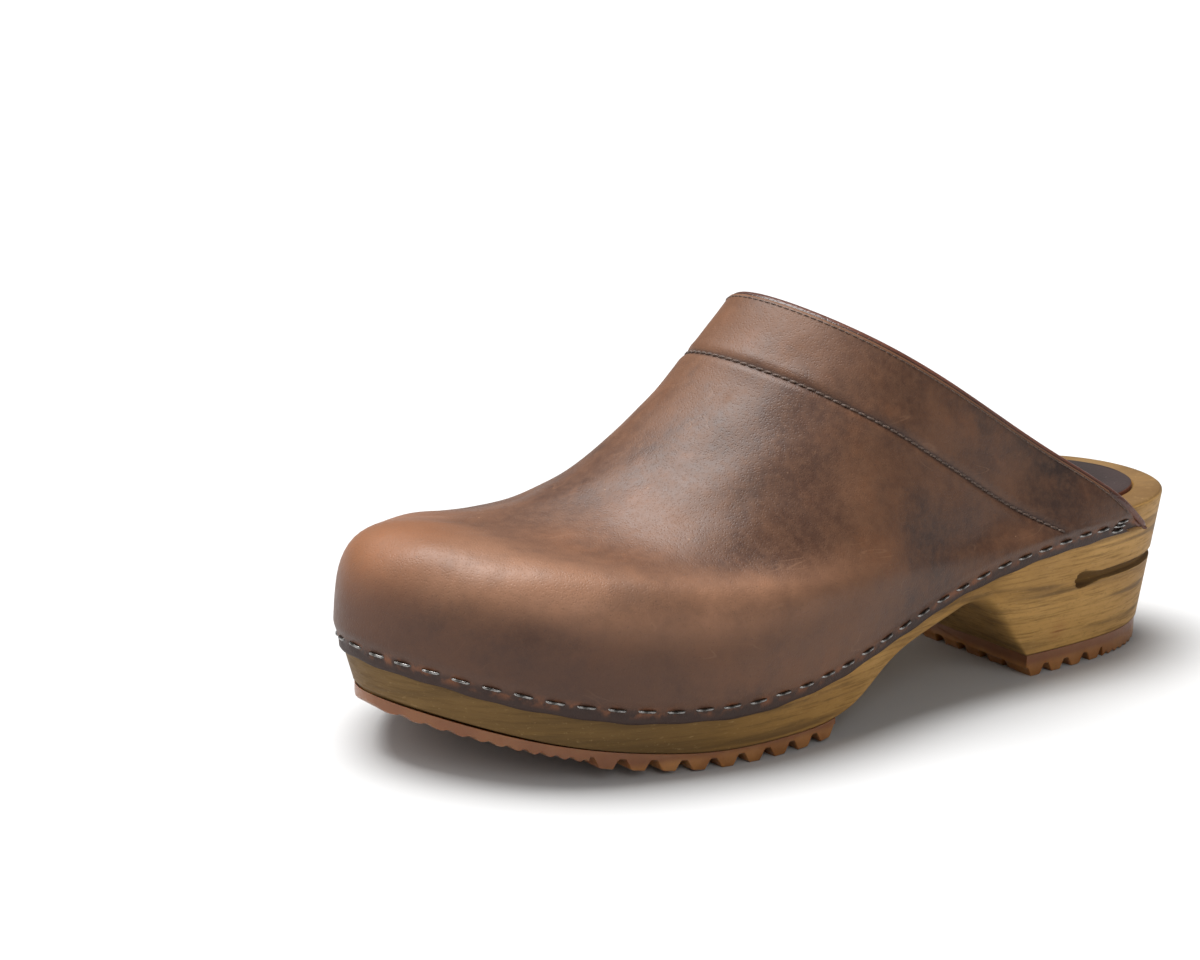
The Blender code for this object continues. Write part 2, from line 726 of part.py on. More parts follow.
def add_base(parts, cutters):
    wood = new_material("wood", (0.42, 0.27, 0.12), 0.55)
    rubber = new_material("rubber", (0.45, 0.2, 0.07), 0.6)
    sock = new_material("footbed_leather", (0.06, 0.03, 0.03), 0.5)
    base = add_object("wood_base", wood_base(), wood, parts)
    boolean_cut(base, heel_groove(cutters))
    add_object("footbed_leather", footbed_leather(), sock, parts)
    add_object("heel_outsole", heel_outsole(), rubber, parts)
    add_object("forefoot_outsole", forefoot_outsole(), rubber, parts)
    return base


def add_topline_trim(shape, lining, parts):
    """The facing inside the upper's edge, the bead over the edge and the cord inside the bead."""
    band = add_object("topline_facing", topline_facing(shape), lining, parts)
    solidify(band, FACING)
    centres = bead_centres(shape)
    tube = wire_curve("bead_path", centres, BEAD_RADIUS, sides=1, caps=False, radii=bead_scale(shape.s))
    bead = add_object("topline_piping", curve_to_mesh("topline_piping", tube, parts), lining, parts)
    solidify(bead, BEAD_WALL)
    cotton = new_material("cotton_cord", (0.7, 0.66, 0.58), 0.9)
    inside = (shape.s > CORD_START) & (shape.s < 1 - CORD_START)
    add_object("piping_cord", wire_curve("piping_cord", centres[inside], CORD_RADIUS, sides=1), cotton, parts)


def main():
    clear_scene()
    parts = new_collection("wooden_clog")
    cutters = new_collection("cutters")
    base = add_base(parts, cutters)

    shape = UpperShape(UPPER_COLUMNS)
    leather = new_material("upper_leather", (0.13, 0.065, 0.04), 0.42)
    vamp = add_object("upper", upper(shape), leather, parts)
    solidify(vamp, LEATHER)
    add_topline_trim(shape, new_material("lining_leather", (0.16, 0.06, 0.035), 0.5), parts)

    thread = new_material("thread", (0.05, 0.03, 0.02), 0.7)
    beside_bead = 2 * BEAD_RADIUS + GAP + BEAD_SEAM_BELOW
    for name, below in (("facing_seam_thread", SEAM_BELOW), ("topline_seam_thread", beside_bead)):
        add_object(name, seam_thread(name, shape, below), thread, parts)

    steel = new_material("steel_wire", (0.35, 0.34, 0.33), 0.3, 1.0)
    hole_cutter = add_staples(shape, steel, parts, cutters)
    boolean_cut(vamp, hole_cutter)
    boolean_cut(base, hole_cutter)


main()
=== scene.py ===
"""The looks of a wooden clog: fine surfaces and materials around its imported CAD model.

Shapes are worked out in design millimetres, (distance from the heel's back, distance
towards the outer side, height), and placed in metres with +X towards the toe. The heel's
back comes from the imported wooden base.
"""

import math

import bmesh
import bpy
import numpy as np
from mathutils import Matrix, Vector


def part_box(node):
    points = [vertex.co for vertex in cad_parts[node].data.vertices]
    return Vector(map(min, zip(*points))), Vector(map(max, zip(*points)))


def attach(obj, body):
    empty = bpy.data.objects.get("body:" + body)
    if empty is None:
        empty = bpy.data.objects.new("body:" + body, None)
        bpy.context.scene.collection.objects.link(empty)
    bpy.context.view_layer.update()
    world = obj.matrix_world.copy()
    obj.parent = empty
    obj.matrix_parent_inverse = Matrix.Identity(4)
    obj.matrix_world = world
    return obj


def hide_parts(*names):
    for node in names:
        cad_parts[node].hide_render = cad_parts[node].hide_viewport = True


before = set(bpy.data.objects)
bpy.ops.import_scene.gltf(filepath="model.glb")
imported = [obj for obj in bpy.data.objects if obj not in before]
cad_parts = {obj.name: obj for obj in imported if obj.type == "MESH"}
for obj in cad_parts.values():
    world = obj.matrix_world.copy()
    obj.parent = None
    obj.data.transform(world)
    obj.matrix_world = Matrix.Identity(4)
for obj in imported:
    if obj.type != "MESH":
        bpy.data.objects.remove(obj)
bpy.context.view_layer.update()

MM = 0.001
HEEL_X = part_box("wood_base")[0].x / MM

# Plan outline of the wooden base: (from heel, sideways).
OUTER_SIDE = ((6, 20), (22, 33), (50, 40), (85, 42), (120, 43.5), (155, 49.5), (190, 53.5),
              (225, 49), (255, 38.5), (275, 19))
TOE_TIP = (285, -12)
INNER_SIDE = ((275, -30.5), (255, -49), (225, -54), (190, -49), (155, -40.5), (120, -34.5),
              (85, -34.5), (50, -40), (22, -33), (6, -20))
HEEL_BACK = (0, 0)

# Heights along the shoe: (from heel, height).
RIM = ((0, 49.2), (25, 49.2), (50, 49), (75, 47.1), (100, 43.2), (150, 30.2), (200, 22.9),
       (250, 28), (286, 37.3))
HEEL_BOTTOM = 7.0
WAIST_BOTTOM = ((76, 7), (84, 15.5), (92, 23.8), (99, 27.3), (110, 26), (130, 21.3), (140, 16.6),
                (150, 10.2), (161, 6.4), (180, 5.1), (205, 5.0), (225, 7.0), (250, 11.5),
                (286, 20.8))
BREAST = 76.0
ARCH_TOP = 96.0
LEATHER_LAP = 7.4
RIM_ROUND = 1.2
HEEL_DRAFT = 5.6
FORE_DRAFT = 2.4
EDGE_BREAK = 0.9
BREAST_CHAMFER = 4.5
CHAMFER_RISE = 12.0
CHAMFER_FADE = (3.0, 32.0)
GROOVE_HEIGHT = 28.9
GROOVE_END = 60.0
GROOVE_RADIUS = 1.45
GROOVE_END_RADIUS = 2.7
GROOVE_SWELL_LENGTH = 13.0
FOOTBED_INSET = 9.0
RECESS_DEPTH = 0.9
FOOTBED_DISH = 2.0
DISH_FULL_WIDTH = 50.0
FOOTBED_THICKNESS = 1.5
FOOTBED_EDGE = 0.5
GAP = 0.3

# Rubber tread.
LUG_PITCH = 9.0
LUG_FLANK = 1.7
LUG_TIP = 3.6
LUG_HEIGHT = 3.0
LUG_WIDTH = 10.0
HEEL_SPLIT = 24.0
FORE_SPLIT = 36.0
LUG_SLOT = 2.2
RUBBER_BALL = 5.0
FORE_TREAD_START = 161.0
FORE_LUGS = 9
SCALLOP_HEIGHT = 0.9
SCALLOP_PITCH = 3.6
RUBBER_TOE = 3.6
HEEL_LUG_START = 40.0
HEEL_ROLL = 2.0
HEEL_ROLL_LENGTH = 22.0
TREAD_INSET = 0.5
TREAD_EDGE = 0.3
TREAD_GAP = 0.05

# Leather upper, as rails at eighths of the way round its lower edge.
LEATHER = 2.0
SKIVE = 1.0
SKIVE_REACH = 9.0
UPPER_CLEAR = LEATHER + GAP
REAR_CORNER = 34.0
CORNER_HEIGHT = 3.0
WALL_OUT = (0, 2.2, 3.8, 4, 3.6, 3.9, 3.8, 2.5, 0)
WALL_UP = (0.36, 0.31, 0.37, 0.47, 0.5, 0.42, 0.35, 0.37, 0.36)
SHOULDER_IN = (0.25, 0.28, 0.22, 0.3, 0.33, 0.3, 0.22, 0.24, 0.25)
SHOULDER_OUT = (0, 0.8, 2, 1.2, 0.8, 1.7, 2.4, 2, 0)
SHOULDER_UP = (0.5, 0.38, 0.41, 0.3, 0.24, 0.33, 0.5, 0.46, 0.5)
SLOPE_IN = (0.6, 0.65, 0.64, 0.62, 0.67, 0.68, 0.63, 0.62, 0.6)
SLOPE_OUT = (0, 2, 2.4, 1.6, 1, 1.5, 2.4, 2.1, 0)
SLOPE_UP = (0.75, 0.58, 0.58, 0.54, 0.47, 0.57, 0.69, 0.68, 0.75)
TOPLINE = ((48, 39.8, 57), (66.5, 35.5, 69), (137.6, 20.8, 112.3), (150.5, -14.7, 118.5),
           (121.8, -38, 98.5), (66.5, -36, 68), (48, -39.8, 56.5))
TOPLINE_MIDDLE = 4
COLUMN_CROWDING = 0.3
COLUMNS = 400

# Topline binding and seams, measured down from the topline.
BEAD_RADIUS = 2.2
BEAD_TIP = 0.5
BEAD_TAPER = 0.08
TIP_LENGTH = 2.5
TIP_DROP = 0.8
TIP_STEPS = 8
BINDING_THICKNESS = 0.9
CORD_RADIUS = 1.1
CORD_FROM_END = 0.05
UPPER_EDGE = 2.3
FACING_INWARD = 3.2
FACING_REACH = 26.0
SEAM_BELOW = 24.0
EDGE_SEAM_BELOW = 3.2
STITCH_PITCH = 2.7
THREAD_RADIUS = 0.36
EDGE_STITCH_PITCH = 2.2
EDGE_THREAD_RADIUS = 0.17
SEAM_GROOVE = 0.42
SEAM_GROOVE_WIDTH = 0.9
SEAM_RIDGE = 0.16
SEAM_RIDGE_AWAY = 2.6
SEAM_RIDGE_WIDTH = 1.3
FACING_STEP = 0.35
FACING_STEP_LENGTH = 4.0

# Staples.
WIRE_RADIUS = 0.42
WIRE_BEND = 0.9
WIRE_LIFT = 0.30
WIRE_SINK = 0.2
CROWN = 5.0
LEG = 3.0
DIMPLE = 0.34
DIMPLE_LENGTH = 0.62 * CROWN
DIMPLE_WIDTH = 1.7
STAPLE_RIDGE = 0.22
STAPLE_RIDGE_ABOVE = 3.4
STAPLE_RIDGE_WIDTH = 2.0
STAPLE_LINE = 3.8
STAPLE_PITCH = 8.6
STAPLE_SHIFT = 0.25
STAPLE_TILT = 0.06
CORNER_STAPLES = 3
CORNER_STAPLE_AT = 11.5
CORNER_STAPLE_STEP = 1.8
CORNER_STAPLE_LOW = 1.5
CAD_STAPLES_PER_SIDE = 24

# The hand-lasted surface's waves: (length, height).
WAVES = ((61, 0.30), (43, 0.24), (29, 0.14), (19, 0.07))
EDGE_WOBBLE = 0.3

CAP_WIDTH = 0.01
WELD = 2e-6

# Studio, in metres: each sun is (name, direction towards it, strength, spread in degrees).
CAMERA_PLACE = (0.62027, 0.63056, 0.26621)
CAMERA_AIM = (0.14056, -0.03572, 0.06064)
CAMERA_LENS = 85.68
CAMERA_SENSOR = 36
CAMERA_ROLL = 1.18
SUNS = (("key", (0.12, -0.22, 0.95), 5.4, 44), ("front", (0.9, -0.4, 0.6), 0.9, 70),
        ("side", (0.2, 0.85, 0.6), 0.55, 40))
WORLD_STRENGTH = 0.22
FLOOR_SIZE = 60


# ---------------------------------------------------------------- curves and outlines

def spline(knots, values):
    """A smooth natural cubic curve through the values, as a function of the knot parameter."""
    knots = np.asarray(knots, float)
    values = np.asarray(values, float).reshape(len(knots), -1)
    step = np.diff(knots)
    slope = np.diff(values, axis=0) / step[:, None]
    count = len(knots)
    matrix = np.zeros((count, count))
    right = np.zeros_like(values)
    matrix[0, :2] = 2, 1
    right[0] = 3 * slope[0]
    matrix[-1, -2:] = 1, 2
    right[-1] = 3 * slope[-1]
    for k in range(1, count - 1):
        matrix[k, k - 1:k + 2] = step[k], 2 * (step[k - 1] + step[k]), step[k - 1]
        right[k] = 3 * (step[k] * slope[k - 1] + step[k - 1] * slope[k])
    tangent = np.linalg.solve(matrix, right)

    def curve(at):
        at = np.asarray(at, float)
        k = np.clip(np.searchsorted(knots, at, side="right") - 1, 0, count - 2)
        width = step[k][..., None]
        t = ((at - knots[k])[..., None]) / width
        return ((2 * t ** 3 - 3 * t ** 2 + 1) * values[k]
                + (t ** 3 - 2 * t ** 2 + t) * width * tangent[k]
                + (3 * t ** 2 - 2 * t ** 3) * values[k + 1]
                + (t ** 3 - t ** 2) * width * tangent[k + 1])

    return curve


def height_curve(pairs):
    """A height as a function of the distance from the heel."""
    pairs = np.array(pairs, float)
    curve = spline(pairs[:, 0], pairs[:, 1])
    return lambda d: curve(d)[..., 0]


def smooth_step(x, start, end):
    t = np.clip((np.asarray(x, float) - start) / (end - start), 0, 1)
    return t * t * (3 - 2 * t)


def arc_lengths(points):
    return np.concatenate([[0], np.cumsum(np.linalg.norm(np.diff(points, axis=0), axis=1))])


def interpolate(at, places, rows):
    """Rows of three numbers, read linearly between the places they stand at."""
    return np.stack([np.interp(at, places, rows[:, axis]) for axis in range(3)], axis=-1)


def along(points, distances):
    """Points at the given distances along a polyline."""
    return interpolate(distances, arc_lengths(points), points)


def unit(vectors):
    return vectors / np.maximum(np.linalg.norm(vectors, axis=-1, keepdims=True), 1e-12)


rim_height = height_curve(RIM)
waist_bottom = height_curve(WAIST_BOTTOM)


def wood_bottom(d):
    """Height of the wood's lower face."""
    return np.where(d < BREAST, HEEL_BOTTOM, waist_bottom(np.maximum(d, BREAST)))


def feather_height(d):
    """Height of the upper's lower edge."""
    return rim_height(d) - LEATHER_LAP


class Outline:
    """The plan outline of the wooden base, as a closed curve that each side is read from."""

    def __init__(self):
        points = np.array((HEEL_BACK,) + OUTER_SIDE + (TOE_TIP,) + INNER_SIDE, float)
        wrapped = np.concatenate([points[-4:], points, points[:5]])
        knots = arc_lengths(wrapped)
        self.curve = spline(knots, wrapped)
        start, end = knots[4], knots[4 + len(points)]
        samples = np.linspace(start, end, 2401)
        self.toe = samples[np.argmax(self.curve(samples)[:, 0])]
        near_heel = np.linspace(start - 5, start + 5, 401)
        self.heel = near_heel[np.argmin(self.curve(near_heel)[:, 0])]
        self.period = end - start
        self.toe_reach = float(self.curve(self.toe)[0])
        self.heel_reach = float(self.curve(self.heel)[0])

    def normal(self, t):
        tangent = unit(self.curve(t + 0.05) - self.curve(t - 0.05))
        return np.stack([-tangent[..., 1], tangent[..., 0]], axis=-1)

    def side(self, distances, outer):
        """Curve parameters of one side at the given distances from the heel."""
        end = self.heel if outer else self.heel + self.period
        samples = np.linspace(end, self.toe, 6001)
        reach = np.maximum.accumulate(self.curve(samples)[:, 0])
        return np.interp(distances, reach, samples)

    def inset(self, t, amount):
        return self.curve(t) - self.normal(t) * np.reshape(amount, (-1, 1))


outline = Outline()


def both_sides(stations):
    return outline.side(stations, True), outline.side(stations, False)


def with_height(plan, height):
    height = np.broadcast_to(height, plan.shape[:-1])
    return np.concatenate([plan, height[..., None]], axis=-1)


def across(outer, inner, count):
    """Points across the shoe between two edges, edges left out, evenly spaced."""
    w = np.linspace(0, 1, count + 2)[None, 1:-1, None]
    return outer[:, None] * (1 - w) + inner[:, None] * w


def eased(start, end, count, blunt_start=False, blunt_end=False):
    """Stations between two places, closer together where the outline turns across the shoe."""
    t = np.linspace(0, 1, count, endpoint=blunt_end)
    if blunt_start:
        t = 1 - np.cos(math.pi / 2 * t)
    elif blunt_end:
        t = np.sin(math.pi / 2 * t)
    return start + (end - start) * t


# ---------------------------------------------------------------- mesh building

def to_world(points):
    """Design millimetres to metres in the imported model's frame."""
    return (np.asarray(points, float) + (HEEL_X, 0, 0)) * MM


def mesh_piece(name, vertices, faces, materials, replaced, attributes=None):
    """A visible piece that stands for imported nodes; attributes hold a number for each point."""
    data = bpy.data.meshes.new(name)
    data.from_pydata(to_world(vertices).tolist(), [], faces)
    for material in materials:
        data.materials.append(material)
    for key, values in (attributes or {}).items():
        attribute = data.attributes.new(key, "FLOAT", "POINT")
        attribute.data.foreach_set("value", np.asarray(values, np.float32))
    data.shade_smooth()
    piece = bpy.data.objects.new(name, data)
    bpy.context.scene.collection.objects.link(piece)
    if replaced:
        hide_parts(*replaced)
    return piece


def grid_faces(rows, columns, closed=False):
    """Quads between neighbouring rows of points; closed rows meet their own start."""
    faces = []
    for i in range(0, (rows - 1) * columns, columns):
        for j in range(columns if closed else columns - 1):
            k = (j + 1) % columns
            faces.append((i + j, i + k, i + columns + k, i + columns + j))
    return faces


def tidy_mesh(piece, sharp=None):
    """Welds coincident points, turns faces outwards and creases edges over an angle in degrees."""
    mesh = bmesh.new()
    mesh.from_mesh(piece.data)
    bmesh.ops.remove_doubles(mesh, verts=mesh.verts, dist=WELD)
    bmesh.ops.dissolve_degenerate(mesh, edges=mesh.edges, dist=WELD)
    bmesh.ops.recalc_face_normals(mesh, faces=mesh.faces)
    mesh.to_mesh(piece.data)
    mesh.free()
    piece.data.shade_smooth()
    if sharp:
        piece.data.set_sharp_from_angle(angle=math.radians(sharp))


def loft(name, sections, materials, replaced, attributes=None, sharp=None):
    """A closed body over rows of closed sections, capped at an end that isn't a line."""
    rows, columns = sections.shape[:2]
    attributes = {key: value.ravel() for key, value in (attributes or {}).items()}
    faces = grid_faces(rows, columns, closed=True)
    for row in (0, rows - 1):
        if np.ptp(sections[row, :, 1]) > CAP_WIDTH:
            faces.append(tuple(range(row * columns, (row + 1) * columns)))
    piece = mesh_piece(name, sections.reshape(-1, 3), faces, materials, replaced,
                       attributes)
    tidy_mesh(piece, sharp)
    return piece


def solidify(piece, thickness, rim_material=0, inner_material=0):
    """Thickens a surface inwards."""
    shell = piece.modifiers.new("Thickness", "SOLIDIFY")
    shell.thickness = thickness * MM
    shell.offset = -1
    shell.material_offset_rim = rim_material
    shell.material_offset = inner_material


# ---------------------------------------------------------------- material nodes

class Nodes:
    """A short way to write a Principled material's node tree."""

    def __init__(self, name):
        self.material = bpy.data.materials.new(name)
        self.material.use_nodes = True
        self.tree = self.material.node_tree
        self.shader = self.tree.nodes["Principled BSDF"]
        self.place = self.tree.nodes.new("ShaderNodeTexCoord").outputs["Object"]

    def link(self, source, target):
        if hasattr(source, "is_output"):
            self.tree.links.new(source, target)
        elif isinstance(source, tuple) and len(source) < len(target.default_value):
            target.default_value = (*source, 1)
        else:
            target.default_value = source

    def attribute(self, name):
        node = self.tree.nodes.new("ShaderNodeAttribute")
        node.attribute_name = name
        return node.outputs["Fac"]

    def math(self, operation, a, b=0.0):
        node = self.tree.nodes.new("ShaderNodeMath")
        node.operation = operation
        self.link(a, node.inputs[0])
        self.link(b, node.inputs[1])
        return node.outputs[0]

    def times(self, product, *factors):
        for factor in factors:
            product = self.math("MULTIPLY", product, factor)
        return product

    def plus(self, total, *others):
        for other in others:
            total = self.math("ADD", total, other)
        return total

    def stretch(self, scale, turn=(0, 0, 0)):
        node = self.tree.nodes.new("ShaderNodeMapping")
        self.link(self.place, node.inputs["Vector"])
        node.inputs["Scale"].default_value = scale
        node.inputs["Rotation"].default_value = turn
        return node.outputs[0]

    def noise(self, size_mm, detail=3.0, roughness=0.5, where=None, distortion=0.0, offset=0.0):
        """Noise whose features are about size_mm wide."""
        node = self.tree.nodes.new("ShaderNodeTexNoise")
        node.noise_dimensions = "4D"
        self.link(where or self.place, node.inputs["Vector"])
        node.inputs["W"].default_value = offset
        node.inputs["Scale"].default_value = 1 / (size_mm * MM)
        node.inputs["Detail"].default_value = detail
        node.inputs["Roughness"].default_value = roughness
        node.inputs["Distortion"].default_value = distortion
        return node.outputs["Fac"]

    def cells(self, size_mm, feature="F1", where=None):
        node = self.tree.nodes.new("ShaderNodeTexVoronoi")
        node.feature = feature
        self.link(where or self.place, node.inputs["Vector"])
        node.inputs["Scale"].default_value = 1 / (size_mm * MM)
        return node.outputs["Distance"]

    def span(self, value, low, high, to_low=0.0, to_high=1.0):
        """Maps a value smoothly from one range to another."""
        node = self.tree.nodes.new("ShaderNodeMapRange")
        node.interpolation_type = "SMOOTHSTEP"
        for socket, item in zip(("Value", "From Min", "From Max", "To Min", "To Max"),
                                (value, low, high, to_low, to_high)):
            self.link(item, node.inputs[socket])
        return node.outputs[0]

    def mix(self, share, a, b):
        node = self.tree.nodes.new("ShaderNodeMix")
        node.data_type = "RGBA"
        self.link(share, node.inputs[0])
        self.link(a, node.inputs[6])
        self.link(b, node.inputs[7])
        return node.outputs[2]

    def layers(self, colour, *layers):
        """Lays (mask, strength, colour) over a first colour, one after another."""
        for mask, strength, over in layers:
            colour = self.mix(self.times(mask, strength), colour, over)
        return colour

    def axis(self, name, vector=None):
        node = self.tree.nodes.new("ShaderNodeSeparateXYZ")
        self.link(vector or self.place, node.inputs[0])
        return node.outputs[name]

    def normal_axis(self, name):
        geometry = self.tree.nodes.new("ShaderNodeNewGeometry")
        return self.axis(name, geometry.outputs["Normal"])

    def near(self, *spots):
        """1 at design points, falling to 0 at a distance from each: (x, y, z, distance)."""
        nearest = None
        for *point, radius in spots:
            node = self.tree.nodes.new("ShaderNodeVectorMath")
            node.operation = "DISTANCE"
            self.link(self.place, node.inputs[0])
            node.inputs[1].default_value = to_world(point)
            here = self.span(node.outputs["Value"], 0, radius * MM, 1, 0)
            nearest = self.math("MAXIMUM", nearest, here) if nearest else here
        return nearest

    def along_shoe(self, start, end):
        """0 at one distance from the heel, rising to 1 at another."""
        return self.span(self.axis("X"), (start + HEEL_X) * MM, (end + HEEL_X) * MM)

    def band(self, value, middle, half):
        """1 where a value is at the middle, falling to 0 at half a width to each side."""
        away = self.math("ABSOLUTE", self.math("SUBTRACT", value, middle))
        return self.span(away, 0, half, 1, 0)

    def bump(self, *layers):
        """Chained bumps: (height, depth in millimetres)."""
        normal = None
        for height, depth in layers:
            node = self.tree.nodes.new("ShaderNodeBump")
            node.inputs["Strength"].default_value = 1
            node.inputs["Distance"].default_value = depth * MM
            self.link(height, node.inputs["Height"])
            if normal:
                self.link(normal, node.inputs["Normal"])
            normal = node.outputs[0]
        self.link(normal, self.shader.inputs["Normal"])

    def finish(self, **values):
        for key, value in values.items():
            self.link(value, self.shader.inputs[key.replace("_", " ")])
        return self.material


# ---------------------------------------------------------------- materials

def oiled_leather():
    """The upper's outer face: mottled oiled leather with paler, worn and darkened places, and
    painted light and shade: highlights along the shoulder crest and the toe ridge, shade low on the
    toe's front and along the seam.
    """
    n = Nodes("oiled_leather")
    from_edge, from_top = n.attribute("from_edge"), n.attribute("from_top")
    clouds = n.noise(46, detail=4, roughness=0.6, distortion=0.4)
    patches = n.noise(17, detail=4, roughness=0.65, offset=3)
    grain = n.noise(2.2, detail=4, roughness=0.7, offset=5)
    speckle = n.noise(0.55, detail=2, roughness=0.8, offset=8)

    def blotch(spots, size, offset, low, high, detail=4):
        return n.times(n.near(*spots), n.span(n.noise(size, detail, offset=offset), low, high))

    toe = n.near((268, -34, 52, 46), (274, -8, 58, 34))
    smudges = blotch(((70, 38, 64, 24), (84, 34, 80, 19), (97, 32, 86, 19)), 13, 11, 0.36, 0.6, 3)
    side = blotch(((128, 46, 52, 44),), 11, 14, 0.42, 0.66)
    instep = blotch(((190, 12, 84, 34),), 9, 17, 0.44, 0.68)
    # Painted highlight along the flank's shoulder crest, partly the paler stretched pull-up leather
    # there.
    crest_highlight_and_stretch = n.times(n.span(from_edge, 19, 31), n.span(from_edge, 66, 40),
                        n.along_shoe(138, 208), n.span(toe, 0, 0.7, 1, 0.15),
                        n.span(patches, 0.3, 0.6, 0.35, 0.6))
    hair = n.noise(24, detail=2, where=n.stretch((0.35, 1.5, 1.2), (0.3, 0.5, 0.8)),
                   distortion=1.2, offset=33)
    hair = n.times(n.band(hair, 0.5, 0.006), n.span(n.noise(15, offset=36), 0.5, 0.65))
    specks = n.times(n.span(n.cells(7.5), 0.05, 0.028), n.span(n.noise(6, offset=20), 0.5, 0.62))
    # Painted highlight on the toe's ridge.
    ridge_highlight = n.near((214, 24, 64, 30), (240, 14, 62, 26))
    # Painted shade: the toe's front darkens towards the lower edge, as under light from above.
    toe_low_shade = n.times(n.along_shoe(190, 250), n.span(from_edge, 30, 12))
    lap = n.span(n.plus(from_edge, n.times(grain, 1.6)), 6.2, 3.2)
    wear = n.times(n.band(from_edge, 3.4, 2.6), n.span(n.noise(4.2, offset=23), 0.45, 0.62))
    seam_shade = n.times(n.band(from_top, SEAM_BELOW, 1.5), n.span(from_edge, 5, 9))
    cut_side = n.span(from_top, UPPER_EDGE + 0.7, UPPER_EDGE + 0.1)

    colour = n.mix(n.span(clouds, 0.38, 0.62), (0.062, 0.026, 0.014), (0.124, 0.054, 0.026))
    colour = n.layers(
        colour,
        (n.span(patches, 0.5, 0.72), 0.55, (0.165, 0.064, 0.026)),
        (n.span(patches, 0.46, 0.28), 0.5, (0.042, 0.023, 0.017)),
        (toe, 0.75, (0.260, 0.098, 0.036)),
        (smudges, 0.8, (0.016, 0.012, 0.012)),
        (side, 0.6, (0.030, 0.017, 0.014)),
        (instep, 0.45, (0.044, 0.030, 0.026)),
        (crest_highlight_and_stretch, 1, (0.345, 0.172, 0.098)),
        (n.span(grain, 0.35, 0.7), 0.3, (0.175, 0.082, 0.040)),
        (n.span(speckle, 0.58, 0.74), 0.45, (0.034, 0.018, 0.012)),
        (hair, 0.2, (0.300, 0.160, 0.090)),
        (specks, 0.55, (0.42, 0.25, 0.15)),
        (ridge_highlight, 0.4, (0.215, 0.098, 0.052)),
        (toe_low_shade, 0.6, (0.050, 0.021, 0.013)),
        (lap, 0.85, (0.024, 0.011, 0.008)),
        (wear, 0.8, (0.190, 0.066, 0.024)),
        (seam_shade, 0.75, (0.026, 0.013, 0.010)),
        (cut_side, 0.5, (0.190, 0.088, 0.042)))

    scuffs = n.noise(9, detail=2, where=n.stretch((0.25, 1.4, 1.1), (0.3, 0.5, 0.8)), offset=26)
    rough = n.plus(n.span(clouds, 0.3, 0.7, 0.43, 0.52), n.span(grain, 0.3, 0.7, -0.03, 0.05),
                   n.span(scuffs, 0.6, 0.75, 0, 0.07), n.times(lap, 0.1))
    pores = n.span(n.cells(0.75), 0.1, 0.5)
    n.bump((n.noise(14, offset=30), 0.35), (grain, 0.07), (pores, 0.04))
    return n.finish(Base_Color=colour, Roughness=rough, IOR=1.46, Specular_IOR_Level=0.42)


def suede():
    """The flesh side of the upper, seen inside."""
    n = Nodes("suede")
    clouds = n.noise(22, detail=4, roughness=0.6)
    nap = n.noise(1.1, detail=4, roughness=0.75, offset=4)
    veins = n.noise(16, where=n.stretch((0.4, 1.5, 1.5), (0.2, 0.6, 0.4)), distortion=1.5, offset=7)
    colour = n.mix(n.span(clouds, 0.36, 0.64), (0.120, 0.058, 0.018), (0.300, 0.155, 0.050))
    colour = n.layers(
        colour,
        (n.span(nap, 0.35, 0.7), 0.6, (0.400, 0.225, 0.085)),
        (n.span(nap, 0.45, 0.25), 0.6, (0.055, 0.026, 0.010)),
        (n.band(veins, 0.5, 0.02), 1, (0.400, 0.210, 0.075)))
    n.bump((nap, 0.28), (n.noise(0.4, detail=2, offset=9), 0.12))
    return n.finish(Base_Color=colour, Roughness=0.92, Sheen_Weight=0.35, Sheen_Roughness=0.5,
                    Sheen_Tint=(0.62, 0.40, 0.22))


def cut_leather():
    """The raw cut edge of the upper."""
    n = Nodes("cut_leather")
    fibre = n.noise(0.8, detail=4, roughness=0.7)
    colour = n.mix(n.span(fibre, 0.3, 0.7), (0.075, 0.033, 0.019), (0.210, 0.100, 0.052))
    n.bump((fibre, 0.15))
    return n.finish(Base_Color=colour, Roughness=0.8)


def lining_leather():
    """Smooth reddish-brown leather with fine creases, round the bead and inside the topline, with
    painted shade in the creases and a painted shadow in the crevice by the upper's edge.
    """
    n = Nodes("lining_leather")
    clouds = n.noise(18)
    creases = n.cells(1.9, "DISTANCE_TO_EDGE", n.stretch((0.45, 1, 1), (0, 0.55, 0)))
    fine = n.noise(0.7, roughness=0.6, offset=3)
    colour = n.mix(n.span(clouds, 0.3, 0.7), (0.070, 0.021, 0.011), (0.125, 0.041, 0.022))
    colour = n.layers(
        colour,
        # Painted shade in the creases.
        (n.span(creases, 0.06, 0.0), 0.25, (0.050, 0.015, 0.009)),
        (n.span(fine, 0.55, 0.8), 0.3, (0.250, 0.110, 0.070)),
        # Painted shadow in the crevice between the upper's edge and the bead.
        (n.attribute("crevice_shadow"), 0.9, (0.010, 0.005, 0.004)))
    n.bump((n.span(creases, 0.0, 0.12), 0.05), (fine, 0.03))
    rough = n.span(clouds, 0.3, 0.7, 0.34, 0.44)
    return n.finish(Base_Color=colour, Roughness=rough, Specular_IOR_Level=0.5)


